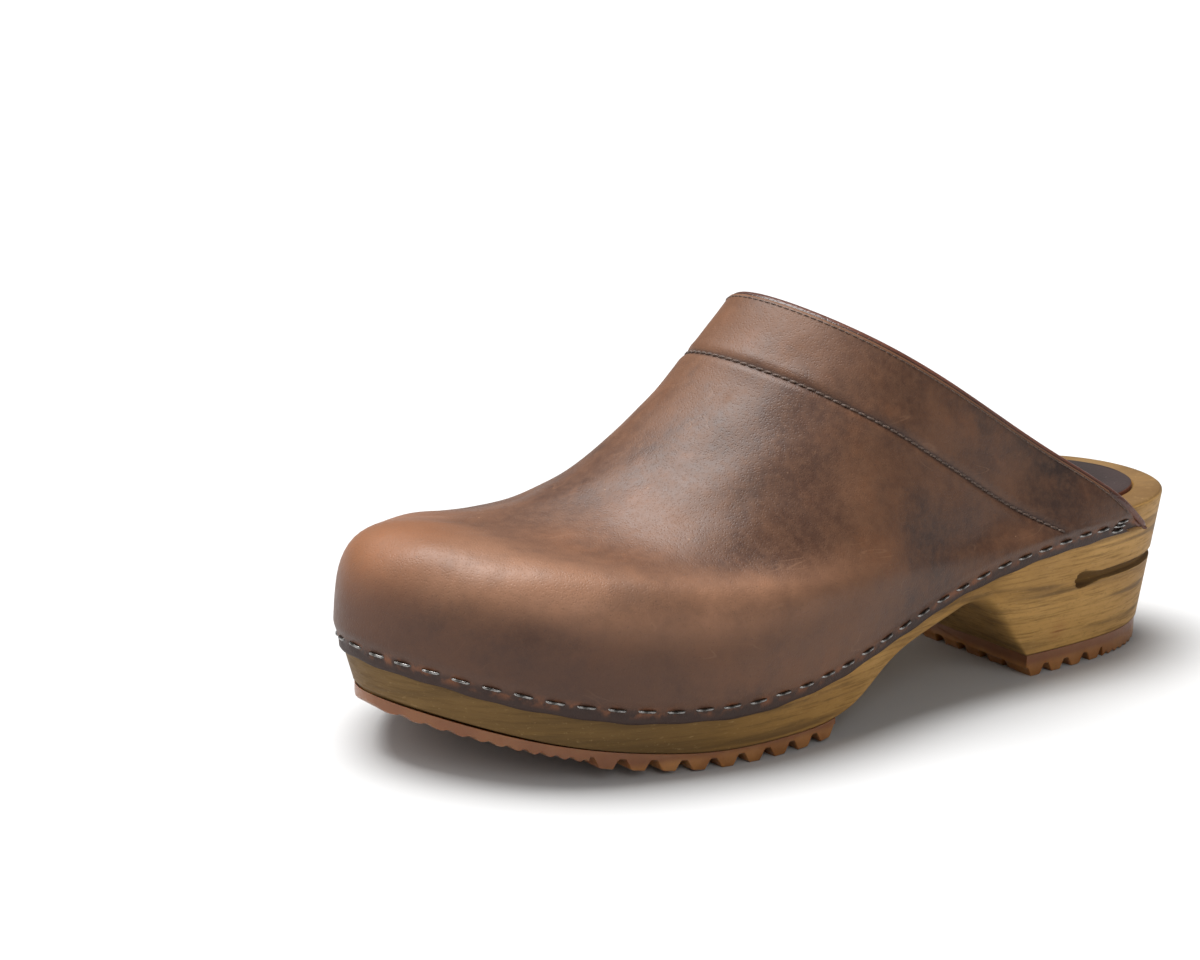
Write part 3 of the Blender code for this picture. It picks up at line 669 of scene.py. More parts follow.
def footbed_skin():
    """Dark smooth footbed leather with a red-brown cut edge."""
    n = Nodes("footbed_skin")
    clouds = n.noise(30, detail=4, roughness=0.55)
    grain = n.noise(0.9, detail=4, roughness=0.7, offset=2)
    edge = n.span(n.normal_axis("Z"), 0.9, 0.55)
    colour = n.mix(n.span(clouds, 0.32, 0.68), (0.020, 0.012, 0.011), (0.036, 0.021, 0.019))
    colour = n.layers(
        colour,
        (n.span(grain, 0.6, 0.8), 0.3, (0.075, 0.050, 0.044)),
        (n.span(n.cells(5.0), 0.045, 0.03), 0.35, (0.4, 0.35, 0.32)),
        (edge, 1, (0.135, 0.042, 0.020)))
    rough = n.plus(n.span(grain, 0.3, 0.7, 0.47, 0.56), n.times(edge, 0.25))
    n.bump((grain, 0.03))
    return n.finish(Base_Color=colour, Roughness=rough, Specular_IOR_Level=0.28)


def alder_wood():
    """Bare wood with grain along the shoe: tan sides, and painted shade that makes the top, front,
    underside and groove browner.
    """
    n = Nodes("alder_wood")
    long_grain = n.stretch((0.06, 0.16, 1.0), (0.05, 0.045, 0.05))
    rings = n.noise(4.6, roughness=0.55, where=long_grain, distortion=0.35, offset=3)
    fibres = n.noise(1.0, detail=4, roughness=0.7, where=n.stretch((0.05, 0.12, 1)), offset=6)
    pores = n.noise(0.55, detail=2, roughness=0.6, where=n.stretch((0.10, 0.2, 1)), offset=9)
    clouds = n.noise(24, where=n.stretch((0.4, 1, 1)), offset=12)
    flecks = n.noise(0.9, roughness=0.7, where=n.stretch((0.5, 0.6, 1)), offset=15)
    groove = n.attribute("groove")
    knot = n.times(n.near((64, 39, 13, 6)), n.span(fibres, 0.3, 0.6))

    side = n.mix(n.span(clouds, 0.3, 0.7), (0.330, 0.172, 0.042), (0.510, 0.290, 0.086))
    # Painted shade: up-facing faces take a darker brown than the sides.
    top = n.mix(n.span(fibres, 0.3, 0.7), (0.140, 0.074, 0.022), (0.205, 0.116, 0.040))
    colour = n.layers(
        side,
        (n.span(n.normal_axis("Z"), 0.35, 0.8), 1, top),
        (n.span(rings, 0.48, 0.68), 0.75, (0.110, 0.058, 0.020)),
        (n.span(fibres, 0.46, 0.7), 0.55, (0.085, 0.046, 0.017)),
        (n.span(n.noise(60, detail=2, offset=1), 0.4, 0.7), 0.3, (0.260, 0.165, 0.075)),
        (n.span(pores, 0.66, 0.8), 0.5, (0.055, 0.030, 0.012)),
        # Painted shade on the front of the wood, under the toe.
        (n.along_shoe(150, 235), 0.82, (0.085, 0.048, 0.015)),
        # Painted shade in the groove.
        (n.math("POWER", groove, 2), 0.8, (0.050, 0.024, 0.008)),
        # Painted shade on down-facing faces.
        (n.span(n.normal_axis("Z"), -0.25, -0.7), 0.4, (0.080, 0.048, 0.020)),
        (knot, 1, (0.240, 0.080, 0.028)),
        (n.span(flecks, 0.5, 0.75), 0.35, (0.120, 0.068, 0.026)),
        (n.span(flecks, 0.42, 0.25), 0.25, (0.520, 0.340, 0.150)))
    rough = n.plus(n.span(fibres, 0.3, 0.7, 0.5, 0.66), n.times(groove, 0.2))
    n.bump((rings, 0.10), (fibres, 0.12), (pores, 0.06))
    return n.finish(Base_Color=colour, Roughness=rough, Specular_IOR_Level=0.18)


def gum_rubber():
    """Amber rubber that lets a little light through, with a matt bloom on the lug faces."""
    n = Nodes("gum_rubber")
    clouds = n.noise(12)
    fine = n.noise(0.8, offset=4)
    bloom = n.times(n.span(n.normal_axis("Z"), -0.55, -0.9), n.span(fine, 0.3, 0.6))
    colour = n.mix(n.span(clouds, 0.3, 0.7), (0.280, 0.105, 0.022), (0.410, 0.175, 0.046))
    colour = n.layers(
        colour,
        (n.span(fine, 0.55, 0.8), 0.3, (0.130, 0.042, 0.012)),
        (n.span(n.axis("Z"), 0.0030, 0.0052), 0.7, (0.150, 0.042, 0.011)),
        (bloom, 0.5, (0.300, 0.210, 0.150)))
    n.bump((n.noise(3.0, detail=2, offset=7), 0.08), (fine, 0.03))
    return n.finish(Base_Color=colour, Roughness=n.span(fine, 0.3, 0.7, 0.3, 0.44),
                    Subsurface_Weight=0.25, Subsurface_Radius=(1.0, 0.35, 0.1),
                    Subsurface_Scale=0.002)


def waxed_thread():
    n = Nodes("waxed_thread")
    twist = n.noise(0.35, detail=2)
    colour = n.mix(n.span(twist, 0.35, 0.65), (0.026, 0.013, 0.009), (0.150, 0.095, 0.068))
    n.bump((twist, 0.05))
    return n.finish(Base_Color=colour, Roughness=0.55)


def cotton_cord():
    n = Nodes("cotton_cord")
    strands = n.noise(0.5, roughness=0.6, where=n.stretch((1, 1, 0.4)))
    colour = n.mix(n.span(strands, 0.3, 0.7), (0.48, 0.44, 0.36), (0.68, 0.64, 0.56))
    n.bump((strands, 0.1))
    return n.finish(Base_Color=colour, Roughness=0.9)


def steel_wire():
    n = Nodes("steel_wire")
    tarnish = n.noise(1.6)
    colour = n.mix(n.span(tarnish, 0.4, 0.65), (0.30, 0.29, 0.28), (0.07, 0.065, 0.06))
    rough = n.span(tarnish, 0.3, 0.7, 0.18, 0.36)
    return n.finish(Base_Color=colour, Roughness=rough, Metallic=1.0)


# ---------------------------------------------------------------- wood, footbed and treads

def ring(outer, top, inner, bottom):
    """Closed sections: up the rows of the outer side, across, down the inner side and back."""
    rows = [row[:, None] for row in outer] + [top] + [row[:, None] for row in inner[::-1]]
    return np.concatenate(rows + [bottom[:, ::-1]], axis=1)


def dish(plan):
    """Depth of the footbed's hollow over rows of points that run from edge to edge."""
    w = np.linspace(0, 1, plan.shape[1])
    width = np.linalg.norm(plan[:, :1] - plan[:, -1:], axis=-1)
    return FOOTBED_DISH * 4 * w * (1 - w) * np.clip(width / DISH_FULL_WIDTH, 0, 1) ** 2


def groove_depth(t, height):
    """How deep the heel's groove is at a curve parameter and a height, and a 0 to 1 mask of it."""
    ends = [outline.side(GROOVE_END, True), outline.side(GROOVE_END, False) - outline.period]
    here = t - outline.period * (t > outline.heel + outline.period / 2)
    to_end = np.minimum(ends[0] - here, here - ends[1])
    swell = 1 - smooth_step(to_end, GROOVE_END_RADIUS, GROOVE_SWELL_LENGTH)
    radius = GROOVE_RADIUS + (GROOVE_END_RADIUS - GROOVE_RADIUS) * swell
    past = np.maximum(GROOVE_END_RADIUS - to_end, 0)
    away = np.hypot(height - GROOVE_HEIGHT, past)
    inside = np.clip(1 - (away / radius) ** 2, 0, 1)
    # A little deeper and steeper than half a circle.
    return 1.15 * radius * inside ** 0.6, inside ** 0.4


def wood_side(t, stations):
    """One side of the wood, from its bottom corner up to the footbed's recess.

    Gives its rows of points, their groove masks and the inner ends of the sole and the seat.
    """
    draft = HEEL_DRAFT + (FORE_DRAFT - HEEL_DRAFT) * smooth_step(stations, BREAST, ARCH_TOP + 10)
    low = wood_bottom(stations)
    rim = rim_height(stations)
    fade_start, fade_end = (ARCH_TOP + distance for distance in CHAMFER_FADE)
    chamfer = (smooth_step(stations, BREAST, BREAST + CHAMFER_RISE)
               - smooth_step(stations, fade_start, fade_end))
    corner = EDGE_BREAK + BREAST_CHAMFER * chamfer
    shoulder = rim - RIM_ROUND
    vertical = smooth_step(stations, REAR_CORNER, REAR_CORNER + 24)
    feather = feather_height(stations)
    at_feather = draft * (shoulder - feather) / (shoulder - low) * (1 - vertical)
    rows, masks = [], []

    def add(inset, height, mask=0.0):
        rows.append(with_height(outline.inset(t, inset), height))
        masks.append(mask + 0 * height)

    for angle in np.linspace(0, math.pi / 2, 5)[1:-1]:
        add(draft + corner * (1 - math.sin(angle)), low + corner * (1 - math.cos(angle)))
    by_groove = 0.52 + np.linspace(-3.4, 3.4, 27) / 42
    fractions = np.concatenate([np.linspace(0, 0.42, 9), by_groove, np.linspace(0.63, 1, 12)])
    for share in fractions:
        height = low + corner + (shoulder - low - corner) * share
        under = np.clip((height - low - corner) / (feather - low - corner), 0, 1)
        over = np.clip((height - feather) / (shoulder - feather), 0, 1)
        inset = draft + (at_feather - draft) * under - at_feather * over
        depth, mask = groove_depth(t, height)
        in_heel = stations < BREAST
        add(inset + depth * in_heel, height, mask * in_heel)
    for angle in np.linspace(0, math.pi / 2, 5)[1:]:
        add(RIM_ROUND * (1 - math.cos(angle)) + 0 * rim, rim - RIM_ROUND * (1 - math.sin(angle)))
    add(FOOTBED_INSET - 0.2 + 0 * rim, rim)
    add(FOOTBED_INSET + 0 * rim, rim - 0.2)
    add(FOOTBED_INSET + 0.05 + 0 * rim, rim - RECESS_DEPTH)
    seat = outline.inset(t, FOOTBED_INSET + 0.1 + 0 * rim)
    return rows, masks, outline.inset(t, draft + corner), seat


def wooden_base(material):
    first, last = outline.heel_reach, outline.toe_reach
    stations = np.concatenate([
        eased(first, 30, 60, blunt_start=True), np.linspace(30, BREAST, 60, endpoint=False),
        np.linspace(BREAST, ARCH_TOP + 6, 50, endpoint=False),
        np.linspace(ARCH_TOP + 6, 240, 80, endpoint=False), eased(240, last, 50, blunt_end=True)])
    outer_t, inner_t = both_sides(stations)
    outer, outer_mask, outer_sole, outer_seat = wood_side(outer_t, stations)
    inner, inner_mask, inner_sole, inner_seat = wood_side(inner_t, stations)
    seat = across(outer_seat, inner_seat, 12)
    seat = with_height(seat, rim_height(seat[..., 0]) - RECESS_DEPTH - dish(seat))
    sole = across(outer_sole, inner_sole, 16)
    sole = with_height(sole, wood_bottom(sole[..., 0]))
    groove = ring(outer_mask, 0 * seat[..., 0], inner_mask, 0 * sole[..., 0])
    return loft("wooden_base", ring(outer, seat, inner, sole), [material], ["wood_base"],
                {"groove": groove}, sharp=50)


def footbed(material):
    first, last = outline.heel_reach, outline.toe_reach
    stations = np.concatenate([
        eased(first, 40, 50, blunt_start=True), np.linspace(40, 236, 80, endpoint=False),
        eased(236, last, 50, blunt_end=True)])
    outer_t, inner_t = both_sides(stations)
    inset = FOOTBED_INSET + 2 * GAP + 0 * stations
    base = rim_height(stations) - RECESS_DEPTH + GAP
    seat = across(outline.inset(outer_t, inset), outline.inset(inner_t, inset), 16)
    low = rim_height(seat[..., 0]) - RECESS_DEPTH + GAP - dish(seat)

    def side(t):
        rows = [with_height(outline.inset(t, inset), base)]
        for angle in np.linspace(0, math.pi / 2, 5):
            edge = inset + FOOTBED_EDGE * (1 - math.cos(angle))
            height = base + FOOTBED_THICKNESS - FOOTBED_EDGE * (1 - math.sin(angle))
            rows.append(with_height(outline.inset(t, edge), height))
        return rows

    sections = ring(side(outer_t), with_height(seat, low + FOOTBED_THICKNESS), side(inner_t),
                    with_height(seat, low))
    return loft("footbed", sections, [material], ["footbed_leather"], sharp=60)


def lug_depth(d, y, start, middle):
    """1 on the lugs' faces and 0 between them: rows across the shoe, in blocks near its middle."""
    phase = np.mod(d - start, LUG_PITCH)
    half = LUG_TIP / 2
    row = np.clip((half + LUG_FLANK - np.abs(phase - LUG_PITCH / 2)) / LUG_FLANK, 0, 1)
    row_number = np.floor((d - start) / LUG_PITCH)
    shift = LUG_WIDTH / 2 * np.mod(row_number, 2)
    side = np.abs(np.mod(y + shift, LUG_WIDTH) - LUG_WIDTH / 2)
    block = 1 - smooth_step(side, (LUG_WIDTH - LUG_SLOT) / 2 - 0.8, (LUG_WIDTH - LUG_SLOT) / 2)
    return row * np.maximum(block, smooth_step(np.abs(y), middle, middle + 1.5))


def scallops(d):
    """Small rounded teeth."""
    return 0.5 + 0.5 * np.cos(2 * math.pi * d / SCALLOP_PITCH)


def tread_piece(name, stations, draft, underside, material, node):
    """A rubber tread between the wood and a lower face given as heights."""
    outer_t, inner_t = both_sides(stations)
    edge = draft + TREAD_INSET + 0 * stations
    face = edge + TREAD_EDGE
    sole = across(outline.inset(outer_t, face), outline.inset(inner_t, face), 78)
    sole = with_height(sole, underside(sole[..., 0], sole[..., 1]))
    roof = across(outline.inset(outer_t, edge), outline.inset(inner_t, edge), 12)
    roof = with_height(roof, wood_bottom(roof[..., 0]) - TREAD_GAP)

    def side(t):
        rim = outline.inset(t, edge)
        low = underside(rim[:, 0], rim[:, 1])
        start = low + TREAD_EDGE
        rise = wood_bottom(rim[:, 0]) - TREAD_GAP - low - TREAD_EDGE
        rows = [with_height(outline.inset(t, face), low)]
        return rows + [with_height(rim, start + rise * share) for share in np.linspace(0, 1, 5)]

    sections = ring(side(outer_t), roof, side(inner_t), sole)
    return loft(name, sections, [material], [node], sharp=45)


def heel_tread(material):
    first = outline.heel_reach
    stations = np.concatenate([
        eased(first, 12, 36, blunt_start=True), np.linspace(12, BREAST - 0.5, 130)])

    def underside(d, y):
        front = LUG_HEIGHT * (1 - lug_depth(d, y, HEEL_LUG_START, HEEL_SPLIT))
        roll = HEEL_ROLL * (1 - smooth_step(d, outline.heel_reach, HEEL_ROLL_LENGTH))
        back = SCALLOP_HEIGHT * (1 - scallops(d)) + roll
        return np.where(d < HEEL_LUG_START, back, front)

    return tread_piece("heel_tread", stations, HEEL_DRAFT, underside, material, "heel_outsole")


def forefoot_tread(material):
    last = outline.toe_reach
    lug_end = FORE_TREAD_START + FORE_LUGS * LUG_PITCH
    stations = np.concatenate([
        np.linspace(FORE_TREAD_START, 262, 210, endpoint=False),
        eased(262, last, 60, blunt_end=True)])

    def underside(d, y):
        wood = wood_bottom(d)
        between = 1 - lug_depth(d, y, FORE_TREAD_START, FORE_SPLIT)
        lugs = np.maximum(0, wood - RUBBER_BALL) + LUG_HEIGHT * between
        toe = wood - RUBBER_TOE + SCALLOP_HEIGHT * (1 - scallops(d))
        thinner = smooth_step(d, lug_end - LUG_PITCH, lug_end + LUG_PITCH / 2)
        toe = toe - (RUBBER_BALL - RUBBER_TOE) * (1 - thinner)
        return np.where(d < lug_end, lugs, toe)

    return tread_piece("forefoot_tread", stations, FORE_DRAFT, underside, material,
                       "forefoot_outsole")


# ---------------------------------------------------------------- leather upper

class UpperShape:
    """The outer face of the upper: ribs that run from the lower edge up to the topline."""

    RIB_SAMPLES = 140
    EDGE_SAMPLES = 800
    TOPLINE_SAMPLES = 600

    def __init__(self, columns):
        even = np.linspace(0, 1, columns + 1)
        self.s = even - COLUMN_CROWDING * np.sin(4 * math.pi * even) / (4 * math.pi)
        outer_end = outline.side(REAR_CORNER, True)
        inner_end = outline.side(REAR_CORNER, False)
        halves = []
        for start, end in ((outer_end, outline.toe), (outline.toe, inner_end)):
            t = np.linspace(start, end, self.EDGE_SAMPLES)
            length = arc_lengths(self.feather(t))
            halves.append((t, length / length[-1]))
        t = np.where(self.s <= 0.5, np.interp(self.s * 2, halves[0][1], halves[0][0]),
                     np.interp(self.s * 2 - 1, halves[1][1], halves[1][0]))
        self.low = self.feather(t)
        self.out = with_height(outline.normal(t), 0)
        self.top = self.topline_points()
        self.ribs = self.make_ribs()
        self.length = np.array([arc_lengths(rib)[-1] for rib in self.ribs])

    @staticmethod
    def feather(t):
        plan = outline.inset(t, -UPPER_CLEAR + 0 * t)
        return with_height(plan, feather_height(plan[:, 0]))

    def topline_points(self):
        ends = self.low[[0, -1]] + (0, 0, CORNER_HEIGHT)
        points = np.concatenate([ends[:1], np.array(TOPLINE), ends[1:]])
        knots = arc_lengths(points)
        curve = spline(knots, points)
        middle = knots[TOPLINE_MIDDLE]
        halves = []
        for start, end in ((0, middle), (middle, knots[-1])):
            fine = curve(np.linspace(start, end, self.TOPLINE_SAMPLES))
            length = arc_lengths(fine)
            halves.append((fine, length / length[-1]))
        (first, first_place), (second, second_place) = halves
        return np.where(self.s[:, None] <= 0.5, interpolate(self.s * 2, first_place, first),
                        interpolate(self.s * 2 - 1, second_place, second))

    def make_ribs(self):
        """Each rib is a cubic B-spline on five rails."""
        eighths = np.linspace(0, 1, 9)

        def rail(values):
            return spline(eighths, values)(self.s)

        rise = (self.top - self.low) * (0, 0, 1)
        inwards = (self.top - self.low) * (1, 1, 0)
        wall = self.low + self.out * rail(WALL_OUT) + rise * rail(WALL_UP)
        shoulder = (self.low + inwards * rail(SHOULDER_IN) + self.out * rail(SHOULDER_OUT)
                    + rise * rail(SHOULDER_UP))
        slope = (self.low + inwards * rail(SLOPE_IN) + self.out * rail(SLOPE_OUT)
                 + rise * rail(SLOPE_UP))
        v = np.linspace(0, 1, self.RIB_SAMPLES + 1)
        middle = (wall + 2 * shoulder + slope) / 4
        low_half = self.bezier(self.low, wall, (wall + shoulder) / 2, middle,
                               np.clip(v * 2, 0, 1))
        high_half = self.bezier(middle, (shoulder + slope) / 2, slope, self.top,
                                np.clip(v * 2 - 1, 0, 1))
        return np.where((v < 0.5)[None, :, None], low_half, high_half)

    @staticmethod
    def bezier(a, b, c, d, t):
        t = t[None, :, None]
        a, b, c, d = (p[:, None] for p in (a, b, c, d))
        return (1 - t) ** 3 * a + 3 * t * (1 - t) ** 2 * b + 3 * t ** 2 * (1 - t) * c + t ** 3 * d

    def at(self, from_edge):
        """Points and outward normals on every rib at the given distances up from the lower edge."""
        from_edge = np.asarray(from_edge, float)
        points, rises = [], []
        for rib, distance in zip(self.ribs, from_edge):
            points.append(along(rib, distance))
            rises.append(along(rib, distance + 0.2) - along(rib, distance - 0.2))
        points, rises = np.array(points), np.array(rises)
        normals = unit(np.cross(rises, np.gradient(points, axis=0)))
        return points, normals


def bead_scale(s):
    """Size of the bead, which thins to its two ends."""
    return BEAD_TIP + (1 - BEAD_TIP) * smooth_step(np.minimum(s, 1 - s), 0, BEAD_TAPER)


def staple_line(shape):
    points, _ = shape.at(np.full((len(shape.s), 1), STAPLE_LINE))
    return points[:, 0]


def staple_distances(shape):
    """Every staple as (distance along the staple line, height above the lower edge).

    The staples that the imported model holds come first, outer side and then inner side, and
    those round the toe follow.
    """
    total = arc_lengths(staple_line(shape))[-1]
    per_side = CAD_STAPLES_PER_SIDE - CORNER_STAPLES
    side = [(CORNER_STAPLE_AT, CORNER_STAPLE_LOW + CORNER_STAPLE_STEP * k)
            for k in range(CORNER_STAPLES)]
    side += [(CORNER_STAPLE_AT + STAPLE_PITCH * (k + 1), STAPLE_LINE) for k in range(per_side)]
    places = side + [(total - distance, height) for distance, height in side]
    last = side[-1][0]
    room = total - 2 * last
    toe = round(room / STAPLE_PITCH)
    return places + [(last + room * (k + 1) / toe, STAPLE_LINE) for k in range(toe - 1)]


def bell(x, middle, width):
    """1 at the middle, falling away to both sides."""
    return np.exp(-((x - middle) / width) ** 2)


def soft_waves(points):
    """Slow, low waves of a hand-lasted surface, in millimetres."""
    waves = 0
    for k, (size, height) in enumerate(WAVES):
        turn = 1.3 * k + 0.4
        direction = np.array([math.cos(turn), math.sin(turn), math.cos(2.1 * turn)])
        other = np.array([math.sin(2 * turn), math.cos(1.7 * turn), math.sin(turn)])
        waves = waves + (height * np.sin(points @ direction * 2 * math.pi / size + k)
                         * np.cos(points @ other * 2 * math.pi / (size * 1.3) + 2 * k))
    return waves


def upper_rows(shape):
    """Distances up each rib, closer together by the staples and the seam."""
    reach = shape.length - np.minimum(UPPER_EDGE * bead_scale(shape.s), shape.length * 0.5)
    first = np.minimum(8, 0.2 * reach)
    second = np.maximum(shape.length - SEAM_BELOW - 3, 0.4 * reach)
    third = np.maximum(shape.length - SEAM_BELOW + 3, 0.6 * reach)
    stops = np.column_stack([0 * reach, first, second, third, reach])
    rows = []
    for k, count in enumerate((12, 62, 12, 20)):
        share = np.linspace(0, 1, count, endpoint=False)
        rows.append(stops[:, k:k + 1] + (stops[:, k + 1:k + 2] - stops[:, k:k + 1]) * share)
    return np.concatenate(rows + [reach[:, None]], axis=1)


def upper_relief(shape, points, from_edge, from_top):
    """How far the leather stands out from its plain shape.

    It has waves, a groove and ridges at the seam, a dimple under each staple and a ridge
    above them.
    """
    seam = from_top - SEAM_BELOW
    free = smooth_step(from_edge, 6, 12)
    relief = soft_waves(points) * smooth_step(from_edge, 3, 22) * smooth_step(from_top, 4, 16)
    relief -= SEAM_GROOVE * bell(seam, 0, SEAM_GROOVE_WIDTH) * free
    relief += SEAM_RIDGE * bell(np.abs(seam), SEAM_RIDGE_AWAY, SEAM_RIDGE_WIDTH) * free
    relief += FACING_STEP * smooth_step(-seam, 0, FACING_STEP_LENGTH) * free
    line = arc_lengths(staple_line(shape))[:, None]
    for distance, height in staple_distances(shape):
        over = (line - distance) / DIMPLE_LENGTH
        up = (from_edge - height) / DIMPLE_WIDTH
        relief = relief - DIMPLE * np.exp(-over ** 4 - up ** 2)
    ridge = STAPLE_LINE + STAPLE_RIDGE_ABOVE
    relief += STAPLE_RIDGE * bell(from_edge, ridge, STAPLE_RIDGE_WIDTH)
    return relief - skived(from_edge)


def skived(from_edge):
    """How much thinner the leather is than its full thickness, near its lower edge."""
    return SKIVE * (1 - smooth_step(from_edge, 0, SKIVE_REACH))


def leather_upper(shape, outer, inner, edge):
    """The upper as a thickened shell, with the points of its outer face."""
    from_edge = upper_rows(shape)
    from_top = shape.length[:, None] - from_edge
    points, normals = shape.at(from_edge)
    points[:, 0, 2] += EDGE_WOBBLE * np.sin(shape.s * 173) * np.cos(shape.s * 71)
    points = points + normals * upper_relief(shape, points, from_edge, from_top)[..., None]
    rows, columns = points.shape[:2]
    piece = mesh_piece("leather_upper", points.reshape(-1, 3), grid_faces(rows, columns),
                       [outer, inner, edge], ["upper"],
                       {"from_edge": from_edge.ravel(), "from_top": from_top.ravel()})
    thin = piece.vertex_groups.new(name="thickness")
    for index, share in enumerate(1 - skived(from_edge).ravel() / LEATHER):
        thin.add([index], float(share), "REPLACE")
    solidify(piece, LEATHER, rim_material=2, inner_material=1)
    piece.modifiers[-1].vertex_group = thin.name
    return piece, points


def inward_surface(shape, depth, below):
    """Points at depths below the upper's outer face, at distances down from the topline.

    A negative distance is above the topline.
    """
    stops = np.maximum(shape.length[:, None] - np.maximum(below, 0), 0)
    points, normals = shape.at(stops)
    up = unit(shape.ribs[:, -1] - shape.ribs[:, -8])[:, None]
    return points + up * np.maximum(-below, 0)[..., None] - normals * depth[..., None]


def pointed_tip(end, before, bead):
    """Further profiles past the end of the binding that draw in to a point."""
    centre = end[:bead].mean(axis=0)
    onwards = unit(centre - before[:bead].mean(axis=0))
    profiles = []
    for share in np.linspace(0, 1, TIP_STEPS + 1)[1:]:
        middle = centre + onwards * TIP_LENGTH * share - np.array([0, 0, TIP_DROP]) * share ** 2
        profiles.append(middle + (end - centre) * (1 - 0.9 * share))
    return np.array(profiles)


def topline_binding(shape, material):
    """One strip of leather that turns over the cord and goes down inside as the facing."""
    scale = bead_scale(shape.s)[:, None]
    fade = smooth_step(np.minimum(shape.s, 1 - shape.s), 0.02, 0.08)[:, None]
    centre_in = BEAD_RADIUS * scale * (0.35 + 0.65 * fade)
    angle = np.radians(np.linspace(-75, 205, 34))[None, :]
    depth = centre_in - BEAD_RADIUS * scale * np.cos(angle)
    below = BEAD_RADIUS * scale * (1 - np.sin(angle))
    reach = np.maximum(shape.length - LEATHER_LAP + 1, 2.3 * BEAD_RADIUS * scale[:, 0])
    reach = np.minimum(FACING_REACH, reach)
    start_depth, start_below = depth[:, -1:], below[:, -1:]
    share = np.linspace(0, 1, 27)[None, 1:]
    down = start_below + (reach[:, None] - start_below) * share
    settle = smooth_step(down - start_below, 0, 4.5)
    facing_in = start_depth + (FACING_INWARD - start_depth) * settle
    facing_in = facing_in + 0.25 * np.sin(down / FACING_REACH * math.pi) * fade
    points = inward_surface(shape, np.concatenate([depth, facing_in], axis=1),
                            np.concatenate([below, down], axis=1))
    # Painted shadow on the bead's lower outer side, in the crevice against the upper's edge.
    crevice_shadow = np.concatenate([smooth_step(-angle, -0.3, -0.1), 0 * share], axis=1) * fade
    bead = angle.shape[1]
    points = np.concatenate([pointed_tip(points[0], points[2], bead)[::-1], points,
                             pointed_tip(points[-1], points[-3], bead)])
    crevice_shadow = np.pad(crevice_shadow, ((TIP_STEPS, TIP_STEPS), (0, 0)), mode="edge")
    rows, columns = points.shape[:2]
    piece = mesh_piece("topline_binding", points.reshape(-1, 3), grid_faces(rows, columns),
                       [material], ["topline_piping", "topline_facing"],
                       {"crevice_shadow": crevice_shadow.ravel()})
    solidify(piece, BINDING_THICKNESS)
    return piece


def sweep(path, normals, radius, sides=8):
    """A closed tube along a path: its points and faces."""
    tangent = unit(np.gradient(path, axis=0))
    side = unit(np.cross(tangent, normals))
    up = np.cross(side, tangent)
    angle = np.linspace(0, 2 * math.pi, sides, endpoint=False)
    ring = side[:, None] * np.cos(angle)[None, :, None] + up[:, None] * np.sin(angle)[None, :, None]
    points = path[:, None] + ring * np.reshape(radius, (-1, 1, 1))
    faces = grid_faces(len(path), sides, closed=True)
    faces += [tuple(range(sides)), tuple(range((len(path) - 1) * sides, len(path) * sides))]
    return points.reshape(-1, 3), faces


def join_bodies(bodies):
    """One list of points and one of faces from several bodies' own."""
    vertices, faces, start = [], [], 0
    for points, these in bodies:
        vertices.append(points)
        faces += [tuple(start + i for i in face) for face in these]
        start += len(points)
    return np.concatenate(vertices), faces


def piping_core(shape, material):
    """The cord inside the bead."""
    radius = (BEAD_RADIUS * bead_scale(shape.s))[:, None]
    keep = np.minimum(shape.s, 1 - shape.s) > CORD_FROM_END
    centre = inward_surface(shape, radius, radius)[:, 0]
    normals = shape.at(shape.length[:, None] - 2)[1][:, 0]
    points, faces = sweep(centre[keep], normals[keep], CORD_RADIUS)
    piece = mesh_piece("piping_core", points, faces, [material], ["piping_cord"])
    tidy_mesh(piece)
    return piece


def stitches(name, line, normals, pitch, radius, replaced, material, slant=0.18):
    """A row of separate stitches that dip into the leather at their ends, as one thread."""
    length = arc_lengths(line)
    bodies = []
    for middle in np.arange(pitch, length[-1] - pitch, pitch):
        steps = np.array([-0.5, -0.42, -0.2, 0, 0.2, 0.42, 0.5]) * pitch * 0.86
        lift = np.array([-1.3, 0.1, 0.65, 0.8, 0.65, 0.1, -1.3]) * radius
        path = along(line, middle + steps)
        normal = interpolate(middle, length, normals)
        tangent = unit(path[-1] - path[0])
        side = np.cross(normal, tangent)
        path = path + normal * lift[:, None] + side * (steps * slant)[:, None]
        bodies.append(sweep(path, np.tile(normal, (len(path), 1)), radius))
    points, faces = join_bodies(bodies)
    piece = mesh_piece(name, points, faces, [material], replaced)
    tidy_mesh(piece)
    return piece


def seam_line(shape, surface, from_top, below, clear):
    """Points and normals of the upper's finished surface, a distance down from the topline."""
    normals = unit(np.cross(np.gradient(surface, axis=1), np.gradient(surface, axis=0)))
    line, out = [], []
    for column in range(len(shape.s)):
        if shape.length[column] - below < clear:
            continue
        order = np.argsort(from_top[column])
        places = from_top[column][order]
        line.append(interpolate(below, places, surface[column, order]))
        out.append(interpolate(below, places, normals[column, order]))
    return np.array(line), unit(np.array(out))


